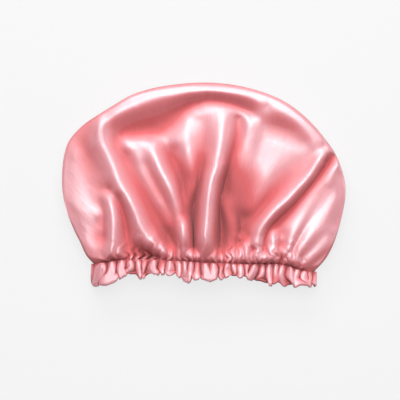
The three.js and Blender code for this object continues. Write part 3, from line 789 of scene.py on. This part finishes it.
def settled_band():
    """Points (along the mouth, out from the elastic, down from the seam) of the band's outer face."""
    flutes = flute_table()
    count = len(flutes)
    places = np.concatenate([flutes[:, 0], flutes[:1, 0] + MOUTH_ROUND])
    edges = 0.5 * (np.concatenate([[places[-2] - MOUTH_ROUND], places[:-1]]) + places)
    widths = np.diff(edges)
    cloth = widths * flutes[:, 1] ** SHARE_POWER
    cloth *= BAND_FLAT / cloth.sum()
    columns = 4 * round(BAND_FLAT / BAND_STEP / 4)
    at_cloth = np.arange(columns) / columns * BAND_FLAT
    running = np.interp(at_cloth, running_total(cloth), np.arange(count + 1))
    flute = np.floor(running).astype(int)
    along = np.interp(running, np.arange(count + 1), edges)
    crest = 0.5 - 0.5 * np.cos(2 * math.pi * running)
    _, facing = mouth_loop(along)
    limit = lerp(FLUTE_LIMIT, UNDER_FLUTE_LIMIT, underside(facing[:, 1]))[:, None]
    row = np.linspace(0, 1, FACE_ROWS + 1)
    rise = 2 / math.pi * widths * np.sqrt(np.maximum(cloth / widths - 1, LEAST_FULLNESS))
    height = np.minimum(rise[flute] * crest, limit[:, 0])
    lean = FLUTE_LEAN * smooth_noise(11, running * LEAN_PACE)
    lean += FINE_LEAN * smooth_noise(12, running * FINE_LEAN_PACE)
    uneven = 1 + FLUTE_UNEVEN * smooth_noise(13, running * UNEVEN_PACE)[:, None] * row
    grid = np.stack([
        along[:, None] + lean[:, None] * row**2 * crest[:, None],
        ELASTIC_CLEAR + height[:, None] * uneven,
        np.broadcast_to(row * BAND_FACE, (columns, FACE_ROWS + 1)),
    ], axis=-1)
    sewn = grid[:, 0].copy()
    sewn[:, 1] = ELASTIC_CLEAR + FLUTE_AT_SEAM * rise[flute] * crest
    place = np.broadcast_to(running[:, None] * TUG_PACE[0], grid.shape[:2])
    depth = np.broadcast_to(row * TUG_PACE[1], grid.shape[:2])
    tugs = [FLUTE_TUG * smooth_noise(seed, place, depth) * row for seed in (14, 15)]
    settle(grid, sewn, limit, tugs)
    return grid


def finer(grid, turn):
    """A closed strip with twice as many columns and rows, on smooth curves through the old points."""
    def between(values):
        return (9 * (values[1] + values[2]) - values[0] - values[3]) / 16

    shifts = [np.roll(grid, -step, axis=0) for step in (-1, 0, 1, 2)]
    shifts[0][0, :, 0] -= turn
    shifts[2][-1, :, 0] += turn
    shifts[3][-2:, :, 0] += turn
    wide = np.stack([grid, between(shifts)], axis=1).reshape(-1, *grid.shape[1:])
    before = 2 * wide[:, :1] - wide[:, 1:2]
    after = 2 * wide[:, -1:] - wide[:, -2:-1]
    padded = np.concatenate([before, wide, after], axis=1)
    middles = between([padded[:, k:k + wide.shape[1] - 1] for k in range(4)])
    tall = np.empty((wide.shape[0], 2 * wide.shape[1] - 1, 3))
    tall[:, ::2] = wide
    tall[:, 1::2] = middles
    return tall


# Band's hem, rolled and drawn up between flutes, and the tunnel that holds the elastic above it
INNER_STEP = 2
LAYER_GAP = 0.9
EDGE_ROLL = 1.6
EDGE_SCALLOP = 3.0
SCALLOP_FROM = 0.5
HEM_UNEVEN = 0.08
HEM_PATCH = 6.0
FLUTE_SLOPE = 0.2
FLUTE_HOLLOW = 3.8
TUNNEL_ROOM = 0.4
TUNNEL_CLOSED = 2.2
LIP_FROM = 0.94
INNER_RIPPLE = 0.5
RIPPLE_LIMIT = 0.5


def band_points():
    """The band's cloth: each column runs from the seam down the outer face, round the edge and up inside.

    Given with how deep each point lies between the flutes, for painted shade there; the inner face is
    given full painted shade.
    """
    face = finer(settled_band(), MOUTH_ROUND)
    along, height, down = face[..., 0], face[..., 1], face[..., 2]
    hollow = fold_hollows(np.stack([along, down, height], axis=-1), FLUTE_SLOPE, FLUTE_HOLLOW)
    point, out = mouth_loop(along)
    lapped = 1 - smoothstep(np.abs(along - LAP_MIDDLE), 0.5 * ELASTIC_LAP, 1.5 * ELASTIC_LAP)
    clear = ELASTIC_CLEAR + LAP_CLEAR * lapped
    height = np.maximum(height, clear)
    uneven = 1 + HEM_UNEVEN * smooth_noise(16, along[:, -1:] / HEM_PATCH)
    scale = uneven * hem_length(point[..., 0], out[..., 1]) / BAND_FACE
    v = np.linspace(0, 1, face.shape[1])
    drawn_up = EDGE_SCALLOP * np.minimum(2 * hollow, 1) * smoothstep(v, SCALLOP_FROM, 1)
    y = SEAM_Y - mouth_drop(point[..., 0]) - down * scale + drawn_up
    rolled = EDGE_ROLL * (1 - quarter_turn((1 - v) * BAND_FACE, EDGE_ROLL))
    drop = (down * scale - drawn_up) / np.minimum(scale, 1)
    below = smoothstep(drop, ELASTIC_LOW + TUNNEL_ROOM, ELASTIC_LOW + TUNNEL_CLOSED)
    tunnel = 1 - np.maximum(below, smoothstep(v, LIP_FROM, 1))
    inside = -clear - INNER_RIPPLE * np.minimum(hollow, RIPPLE_LIMIT)
    within = lerp(height - rolled - LAYER_GAP, inside, tunnel)
    top = point + (height - rolled)[..., None] * out
    low = point + within[..., None] * out
    outer = np.stack([top[..., 0], y, top[..., 1]], axis=-1)
    inner = np.stack([low[..., 0], y, low[..., 1]], axis=-1)
    lip = 0.5 * (outer[:, -1:] + inner[:, -1:])
    lip[..., 1] -= 0.5 * LAYER_GAP
    inner = inner[:, ::-INNER_STEP]
    points = np.concatenate([outer, lip, inner], axis=1)
    # Inner face: ones, so the satin paints it in its darkest shade
    return points, np.concatenate([hollow, hollow[:, -1:], np.ones(inner.shape[:2])], axis=1)


# Elastic: a braided strip joined into a loop by lapping its ends under the middle of the lower edge
ELASTIC_THICK = 0.9
ELASTIC_RIBS = 7
ELASTIC_RIB_POINTS = 4
ELASTIC_RIB_RISE = 0.12
ELASTIC_STEP = 2.0
ELASTIC_TILT = 0.92


def elastic_points():
    """Rings of points round the strip's section, one after another along the strip."""
    run = MOUTH_ROUND + ELASTIC_LAP
    t = np.linspace(0, run, int(run / ELASTIC_STEP) + 1)
    shift = 0.5 * ELASTIC_THICK + ELASTIC_RIB_RISE
    past_start = smoothstep(t, ELASTIC_LAP, 2 * ELASTIC_LAP)
    near_end = smoothstep(t, run - 2 * ELASTIC_LAP, run - ELASTIC_LAP)
    aside = shift * (near_end - 1 + past_start)
    point, out = mouth_loop(LAP_MIDDLE - 0.5 * ELASTIC_LAP + t)
    across = np.linspace(0, 1, ELASTIC_RIB_POINTS * ELASTIC_RIBS + 1)
    rib = ELASTIC_RIB_RISE * np.abs(np.sin(math.pi * ELASTIC_RIBS * across))
    drop = np.concatenate([across, across[::-1]]) * ELASTIC_WIDTH + ELASTIC_TOP
    level = np.concatenate([0.5 * ELASTIC_THICK + rib, -0.5 * ELASTIC_THICK - rib])
    place = point[:, None, :] + (aside[:, None] + level[None, :])[..., None] * out[:, None, :]
    tilt = np.minimum(1, ELASTIC_TILT * hem_length(point[:, 0], out[:, 1]) / BAND_FACE)
    y = SEAM_Y - mouth_drop(point[:, 0])[:, None] - tilt[:, None] * drop[None, :]
    return np.stack([place[..., 0], y, place[..., 1]], axis=-1)


def strip_object(name, rings):
    """A closed strip from rings of points, capped at both ends."""
    rows, columns = rings.shape[:2]
    index = np.arange(rows * columns).reshape(rows, columns)
    following = np.roll(index, -1, axis=1)
    sides = np.stack([index[:-1], index[1:], following[1:], following[:-1]], axis=-1).reshape(-1, 4)
    half = columns // 2
    caps = []
    for ring, flip in ((index[0], False), (index[-1], True)):
        for k in range(half - 1):
            cap = [ring[k], ring[k + 1], ring[columns - 2 - k], ring[columns - 1 - k]]
            caps.append(cap[::-1] if flip else cap)
    mesh = bpy.data.meshes.new(name)
    mesh.from_pydata((rings.reshape(-1, 3) * MM).tolist(), [], sides.tolist() + caps)
    mesh.polygons.foreach_set("use_smooth", [True] * len(mesh.polygons))
    piece = bpy.data.objects.new(name, mesh)
    scene.collection.objects.link(piece)
    return piece


# Stitching: short lengths of thread laid end to end along a line on the cloth
STITCH_LENGTH = 2.6
STITCH_SIDES = 6
STITCH_RINGS = 5
THREAD = 0.6


def stitch_tree():
    """Places one small stitch after another along the edges of a line."""
    tree = bpy.data.node_groups.new("stitches", "GeometryNodeTree")
    face = tree.interface
    face.new_socket("Line", in_out="INPUT", socket_type="NodeSocketGeometry")
    face.new_socket("Stitch Length", in_out="INPUT", socket_type="NodeSocketFloat")
    face.new_socket("Thread", in_out="INPUT", socket_type="NodeSocketFloat")
    face.new_socket("Finish", in_out="INPUT", socket_type="NodeSocketMaterial")
    face.new_socket("Stitches", in_out="OUTPUT", socket_type="NodeSocketGeometry")

    def node(kind, settings=None, **links):
        made = tree.nodes.new(kind)
        for key, value in (settings or {}).items():
            setattr(made, key, value)
        for key, value in links.items():
            socket = made.inputs[key.replace("_", " ")]
            if isinstance(value, bpy.types.NodeSocket):
                tree.links.new(value, socket)
            else:
                socket.default_value = value
        return made

    given = node("NodeGroupInput").outputs
    length, thick = given["Stitch Length"], given["Thread"]
    line = node("GeometryNodeMeshToCurve", Mesh=given["Line"]).outputs[0]
    spots = node("GeometryNodeResampleCurve", {"mode": "LENGTH"}, Curve=line, Length=length).outputs[0]
    tangent = node("GeometryNodeInputTangent").outputs[0]
    turn = node("FunctionNodeAlignRotationToVector", {"axis": "Z"}, Vector=tangent).outputs[0]
    ball = node("GeometryNodeMeshUVSphere", Segments=STITCH_SIDES, Rings=STITCH_RINGS, Radius=0.5)
    size = node("ShaderNodeCombineXYZ", X=thick, Y=thick, Z=length).outputs[0]
    placing = {"Points": spots, "Instance": ball.outputs["Mesh"], "Rotation": turn, "Scale": size}
    laid = node("GeometryNodeInstanceOnPoints", **placing).outputs[0]
    plain = node("GeometryNodeRealizeInstances", Geometry=laid).outputs[0]
    smooth = node("GeometryNodeSetShadeSmooth", Geometry=plain).outputs[0]
    done = node("GeometryNodeSetMaterial", Geometry=smooth, Material=given["Finish"]).outputs[0]
    tree.links.new(done, node("NodeGroupOutput").inputs["Stitches"])
    return tree


def stitch_row(name, tree, line, finish, closed=True):
    """A row of stitches along a line of points in millimetres."""
    count = len(line)
    edges = [(k, (k + 1) % count) for k in range(count if closed else count - 1)]
    path = bpy.data.meshes.new(name + "_line")
    path.from_pydata((np.asarray(line) * MM).tolist(), edges, [])
    maker = bpy.data.objects.new(name + "_line", path)
    scene.collection.objects.link(maker)
    modifier = maker.modifiers.new("stitches", "NODES")
    modifier.node_group = tree
    sizes = {"Stitch Length": STITCH_LENGTH * MM, "Thread": THREAD * MM, "Finish": finish}
    for item in tree.interface.items_tree:
        if item.in_out == "INPUT" and item.name in sizes:
            modifier[item.identifier] = sizes[item.name]
    evaluated = maker.evaluated_get(bpy.context.evaluated_depsgraph_get())
    mesh = bpy.data.meshes.new_from_object(evaluated)
    mesh.name = name
    piece = bpy.data.objects.new(name, mesh)
    bpy.data.objects.remove(maker)
    scene.collection.objects.link(piece)
    return piece


# Finishes
class Value:
    """A number from a shader socket; sums and products written with it add Math nodes."""

    def __init__(self, finish, socket):
        self.finish = finish
        self.socket = socket

    def maths(self, operation, first, second):
        return self.finish.node("ShaderNodeMath", {"operation": operation}, {0: first, 1: second})

    def __add__(self, other):
        return self.maths("ADD", self, other)

    def __sub__(self, other):
        return self.maths("SUBTRACT", self, other)

    def __rsub__(self, other):
        return self.maths("SUBTRACT", other, self)

    def __mul__(self, other):
        return self.maths("MULTIPLY", self, other)

    def at_most(self, limit):
        return self.maths("MINIMUM", self, limit)

    __radd__ = __add__
    __rmul__ = __mul__


class Finish:
    """A material with one Principled shader, to which nodes are added one by one."""

    def __init__(self, name, plain):
        self.material = bpy.data.materials.new(name)
        self.material.use_nodes = True
        self.tree = self.material.node_tree
        self.shader = self.tree.nodes["Principled BSDF"]
        self.put(plain)

    def feed(self, socket, value):
        if isinstance(value, Value):
            self.tree.links.new(value.socket, socket)
        else:
            socket.default_value = value

    def set_stops(self, elements, stops):
        """Sets a ramp's (share, colour) stops, the first at nought and the last at one."""
        for place, colour in stops[1:-1]:
            elements.new(place).color = colour
        elements[0].color = stops[0][1]
        elements[-1].color = stops[-1][1]

    def node(self, kind, settings=None, sockets=None, output=0):
        """Adds a node: its settings first, then the values or links of its sockets."""
        made = self.tree.nodes.new(kind)
        for key, value in (settings or {}).items():
            if key == "stops":
                self.set_stops(made.color_ramp.elements, value)
            else:
                setattr(made, key, value)
        for key, value in (sockets or {}).items():
            self.feed(made.inputs[key], value)
        return Value(self, made.outputs[output])

    def put(self, sockets):
        """Feeds the Principled shader's own sockets."""
        for key, value in sockets.items():
            self.feed(self.shader.inputs[key], value)

    def blend(self, share, first, second):
        """A colour between two colours, by the numbers of Mix's colour sockets, whose names repeat."""
        sockets = {0: share, 6: first, 7: second}
        return self.node("ShaderNodeMix", {"data_type": "RGBA"}, sockets, output=2)

    def ramp(self, share, stops):
        """A colour that runs through a list of (share, colour) stops."""
        return self.node("ShaderNodeValToRGB", {"stops": stops}, {"Fac": share})

    def cloud(self, place, scale, detail=2.0):
        """Soft random patches, from nought to one."""
        return self.node("ShaderNodeTexNoise", {}, {"Vector": place, "Scale": scale, "Detail": detail})

    def bands(self, place, direction, pitch):
        """Threads side by side at a pitch in metres."""
        settings = {"wave_type": "BANDS", "bands_direction": direction}
        sockets = {"Vector": place, "Scale": math.pi / (10 * pitch)}
        return self.node("ShaderNodeTexWave", settings, sockets)

    def stretched(self, place, scale):
        """A place scaled along each axis, for a pattern that is longer one way."""
        return self.node("ShaderNodeMapping", {}, {"Vector": place, "Scale": scale})

    def bump(self, height, depth):
        """A normal tilted by a height of at most a depth in metres."""
        return self.node("ShaderNodeBump", {}, {"Height": height, "Distance": depth, "Strength": 1.0})


# Satin colours: the open pink, then darker copies of it for painted shade on slopes, in folds and deep
# down
SATIN_OPEN = (0.71, 0.266, 0.296, 1)
SATIN_SHADE_SLOPE = (0.68, 0.158, 0.175, 1)
SATIN_SHADE_FOLD = (0.56, 0.050, 0.055, 1)
SATIN_SHADE_DEEP = (0.35, 0.013, 0.015, 1)
SATIN_SHADE_STOPS = [(0, SATIN_OPEN), (0.22, SATIN_SHADE_SLOPE), (0.5, SATIN_SHADE_FOLD), (1, SATIN_SHADE_DEEP)]
SATIN_GLOSS = 0.465
SATIN_DULL = 0.5
SATIN_DULL_PACE = 2.2
SATIN_IOR = 2.0
SATIN_DEPTH = 0.0008
PATCH_SCALE = 28.0
PATCH_COLOUR = 0.1
PATCH_ROUGHNESS = 0.06
SLUB_STRETCH = (900.0, 120.0, 1.0)
SLUB_COLOUR = 0.12
SLUB_ROUGHNESS = 0.16
SLUB_RISE = 0.11
RIPPLE_STRETCH = (95.0, 30.0, 1.0)
RIPPLE_DETAIL = 3.0
RIPPLE_RISE = 0.6
WARP_PITCH = 0.0004
WARP_RISE = 0.012


def satin_finish():
    """Pink satin: fine warp floats, soft uneven sheen, duller down in the folds, with painted shade: its
    colour runs to darker copies of the pink by how deep the cloth lies.
    """
    satin = Finish("satin", {"IOR": SATIN_IOR, "Specular IOR Level": 1.0})
    cloth = satin.node("ShaderNodeUVMap", {"uv_map": "cloth"})
    hollow = satin.node("ShaderNodeAttribute", {"attribute_name": "hollow"}, output="Fac")
    patches = satin.cloud(cloth, PATCH_SCALE)
    slubs = satin.cloud(satin.stretched(cloth, SLUB_STRETCH), 1.0)
    ripples = satin.cloud(satin.stretched(cloth, RIPPLE_STRETCH), 1.0, RIPPLE_DETAIL)
    warp = satin.bands(cloth, "X", WARP_PITCH)
    # Painted shade: the colour ramp darkens with fold depth, plus random tone from patches and slubs
    deep = hollow + (patches - 0.5) * PATCH_COLOUR + (slubs - 0.5) * SLUB_COLOUR
    dull = (hollow * SATIN_DULL_PACE).at_most(1.0)
    uneven = (slubs - 0.5) * SLUB_ROUGHNESS + (patches - 0.5) * PATCH_ROUGHNESS
    relief = ripples * RIPPLE_RISE + slubs * SLUB_RISE + warp * WARP_RISE
    satin.put({
        "Base Color": satin.ramp(deep, SATIN_SHADE_STOPS),
        "Roughness": dull * SATIN_DULL + uneven + SATIN_GLOSS,
        "Normal": satin.bump(relief, SATIN_DEPTH),
    })
    return satin.material


THREAD_PALE = (0.78, 0.27, 0.29, 1)
THREAD_GROOVE_SHADE = (0.55, 0.13, 0.145, 1)
THREAD_IOR = 1.5
THREAD_ROUGHNESS = 0.5
THREAD_DEPTH = 0.00006
TWIST_PITCH = 0.0003
TWIST_COLOUR = 0.7
LINT_SCALE = 1800.0
LINT_COLOUR = 0.3
LINT_ROUGHNESS = 0.25
LINT_RISE = 0.4


def thread_finish():
    """Spun polyester thread: twisted plies with painted shade in the grooves between them, and a little
    lint.
    """
    thread = Finish("thread", {"IOR": THREAD_IOR})
    place = thread.node("ShaderNodeTexCoord", output="Object")
    twist = thread.bands(place, "DIAGONAL", TWIST_PITCH)
    lint = thread.cloud(place, LINT_SCALE)
    # Painted shade: darker where the twist bump is low, between plies; lint adds random tone
    pale = twist * TWIST_COLOUR + lint * LINT_COLOUR
    thread.put({
        "Base Color": thread.blend(pale, THREAD_GROOVE_SHADE, THREAD_PALE),
        "Roughness": lint * LINT_ROUGHNESS + THREAD_ROUGHNESS,
        "Normal": thread.bump(twist + lint * LINT_RISE, THREAD_DEPTH),
    })
    return thread.material


ELASTIC_WHITE = (0.86, 0.84, 0.80, 1)
ELASTIC_SHADE = (0.62, 0.59, 0.54, 1)
ELASTIC_IOR = 1.45
ELASTIC_ROUGHNESS = 0.65
ELASTIC_DEPTH = 0.00012
WEFT_PITCH = 0.0008
WEFT_COLOUR = 0.6
YARN_SCALE = 1500.0
YARN_COLOUR = 0.4
YARN_ROUGHNESS = 0.2
YARN_RISE = 0.3


def elastic_finish():
    """Braided elastic: white yarn crossing rubber cords, with small gaps between the passes."""
    webbing = Finish("elastic", {"IOR": ELASTIC_IOR})
    place = webbing.node("ShaderNodeTexCoord", output="Object")
    weft = webbing.bands(place, "X", WEFT_PITCH)
    yarn = webbing.cloud(place, YARN_SCALE)
    white = weft * WEFT_COLOUR + yarn * YARN_COLOUR
    webbing.put({
        "Base Color": webbing.blend(white, ELASTIC_SHADE, ELASTIC_WHITE),
        "Roughness": yarn * YARN_ROUGHNESS + ELASTIC_ROUGHNESS,
        "Normal": webbing.bump(weft + yarn * YARN_RISE, ELASTIC_DEPTH),
    })
    return webbing.material


PAPER = (0.80, 0.80, 0.80, 1)
PAPER_GRAIN = (0.76, 0.76, 0.76, 1)
PAPER_SCALE = 900.0
PAPER_ROUGHNESS = 0.9
BACKDROP = (0.92, 0.92, 0.92, 1)
BACKDROP_SHARE = 0.85
BRIGHT_RAYS = ("Is Camera Ray", "Is Glossy Ray", "Is Transmission Ray")


def paper_finish():
    """White paper that the camera and reflections see bright, and that still takes the shadow."""
    paper = Finish("paper", {"Roughness": PAPER_ROUGHNESS})
    place = paper.node("ShaderNodeTexCoord", output="Object")
    paper.put({"Base Color": paper.blend(paper.cloud(place, PAPER_SCALE), PAPER, PAPER_GRAIN)})
    seen = paper.node("ShaderNodeLightPath")
    rays = seen.socket.node.outputs
    shown = [Value(paper, rays[name]) for name in BRIGHT_RAYS]
    share = (shown[0] + shown[1] + shown[2]).at_most(1.0) * BACKDROP_SHARE
    glow = paper.node("ShaderNodeEmission", {}, {"Color": BACKDROP})
    lit = Value(paper, paper.shader.outputs[0])
    both = paper.node("ShaderNodeMixShader", {}, {0: share, 1: lit, 2: glow})
    paper.feed(paper.tree.nodes["Material Output"].inputs["Surface"], both)
    return paper.material


# Pieces
crown_grid = crown_points()
crown = sheet_object("crown", crown_grid, cloth_uv(crown_grid), crown_shade_and_dullness(crown_grid))
band_grid, band_shade_and_dullness = band_points()
band = sheet_object("band", band_grid, cloth_uv(band_grid), band_shade_and_dullness, closed_rows=True)
elastic = strip_object("elastic", elastic_points())
satin = satin_finish()
crown.data.materials.append(satin)
band.data.materials.append(satin)
elastic.data.materials.append(elastic_finish())

# Rows of stitches, on the band's outer face and on its inner face
SEAM_ROW = 2
EDGE_ROW = 32
SEAM_ROW_INSIDE = -1 - SEAM_ROW // INNER_STEP
EDGE_ROW_INSIDE = -1 - EDGE_ROW // INNER_STEP
stitches = stitch_tree()
thread = thread_finish()
seam_needle = stitch_row("seam_needle_stitches", stitches, band_grid[:, SEAM_ROW], thread)
seam_bobbin = stitch_row("seam_bobbin_stitches", stitches, band_grid[:, SEAM_ROW_INSIDE], thread)
edge_needle = stitch_row("edge_needle_stitches", stitches, band_grid[:, EDGE_ROW], thread)
edge_bobbin = stitch_row("edge_bobbin_stitches", stitches, band_grid[:, EDGE_ROW_INSIDE], thread)

# Tack through the elastic's lapped ends, a crossed box
TACK_HALF = 5.0
TACK_MARGIN = 1.2
TACK_TOP = ELASTIC_TOP + TACK_MARGIN
TACK_LOW = ELASTIC_LOW - TACK_MARGIN
TACK_LEVEL = ELASTIC_THICK + 2 * ELASTIC_RIB_RISE
tack_corners = [
    (-TACK_HALF, TACK_TOP), (TACK_HALF, TACK_TOP), (TACK_HALF, TACK_LOW), (-TACK_HALF, TACK_LOW),
    (-TACK_HALF, TACK_TOP), (TACK_HALF, TACK_LOW), (TACK_HALF, TACK_TOP), (-TACK_HALF, TACK_LOW),
]
lap_point = mouth_loop(np.array([LAP_MIDDLE]))[0][0]
tack_level = lap_point[1] + TACK_LEVEL
tack_line = [(lap_point[0] + side, SEAM_Y - drop, tack_level) for side, drop in tack_corners]
tack = stitch_row("lap_tack_stitches", stitches, tack_line, thread, closed=False)

for piece, node, slot in (
    (crown, "crown_panel", "satin"),
    (band, "casing_band", "satin"),
    (elastic, "elastic_loop", "elastic"),
    (tack, "elastic_overlap_tack", "thread"),
    (seam_needle, "seam_needle_thread", "thread"),
    (seam_bobbin, "seam_bobbin_thread", "thread"),
    (edge_needle, "edge_needle_thread", "thread"),
    (edge_bobbin, "edge_bobbin_thread", "thread"),
):
    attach(piece, "root")
    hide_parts(node)

# Floor: a wide round sheet of paper whose far edge curves up into a low backdrop
FLOOR_CENTRE = 0.001
FLOOR_FLAT = 26.0
FLOOR_EDGE = 4.0
FLOOR_SIDES = 96
FLOOR_CURVE = 12


def floor_object():
    """Rings of points from the centre out over the flat and up the edge, in metres."""
    turn = np.linspace(0, 0.5 * math.pi, FLOOR_CURVE)
    reach = np.concatenate([[FLOOR_CENTRE], FLOOR_FLAT + FLOOR_EDGE * np.sin(turn)])
    rise = np.concatenate([[0], FLOOR_EDGE * (1 - np.cos(turn))])
    angle = np.linspace(0, 2 * math.pi, FLOOR_SIDES, endpoint=False)
    x, y = np.outer(np.cos(angle), reach), np.outer(np.sin(angle), reach)
    points = np.stack([x, y, np.broadcast_to(rise, x.shape)], axis=-1)
    columns = points.shape[1]
    index = np.arange(FLOOR_SIDES * columns).reshape(FLOOR_SIDES, columns)
    index = np.vstack([index, index[:1]])
    quads = np.stack([index[:-1, :-1], index[:-1, 1:], index[1:, 1:], index[1:, :-1]], axis=-1)
    mesh = bpy.data.meshes.new("floor")
    mesh.from_pydata(points.reshape(-1, 3).tolist(), [], quads.reshape(-1, 4).tolist())
    mesh.polygons.foreach_set("use_smooth", [True] * len(mesh.polygons))
    mesh.materials.append(paper_finish())
    made = bpy.data.objects.new("floor", mesh)
    scene.collection.objects.link(made)
    return made


floor_object()

# Light: a dim room and three soft boxes
ROOM = (0.03, 0.03, 0.03, 1)
LAMP_AIM = (0, 0, 0)
ROSE_WHITE = (1, 0.97, 1)
PLAIN_WHITE = (1, 1, 1)
world = bpy.data.worlds.new("studio")
world.use_nodes = True
world.node_tree.nodes["Background"].inputs["Color"].default_value = ROOM
scene.world = world


def soft_box(name, place, size, watts, colour):
    """A lamp with a wide rectangular face, aimed at the bonnet, with its place and size in metres."""
    lamp = bpy.data.lights.new(name, "AREA")
    lamp.shape = "RECTANGLE"
    lamp.size, lamp.size_y = size
    lamp.energy = watts
    lamp.color = colour
    lamp_object = bpy.data.objects.new(name, lamp)
    lamp_object.location = place
    lamp_object.rotation_euler = (Vector(LAMP_AIM) - Vector(place)).to_track_quat("-Z", "Y").to_euler()
    lamp_object.visible_camera = False
    scene.collection.objects.link(lamp_object)


soft_box("overhead", place=(0, 0.35, 1.6), size=(0.9, 0.9), watts=24.5, colour=ROSE_WHITE)
soft_box("back", place=(-0.2, 1.25, 1.05), size=(1.4, 0.5), watts=19, colour=ROSE_WHITE)
soft_box("right", place=(1.5, 0.2, 0.5), size=(0.5, 0.8), watts=3.5, colour=PLAIN_WHITE)
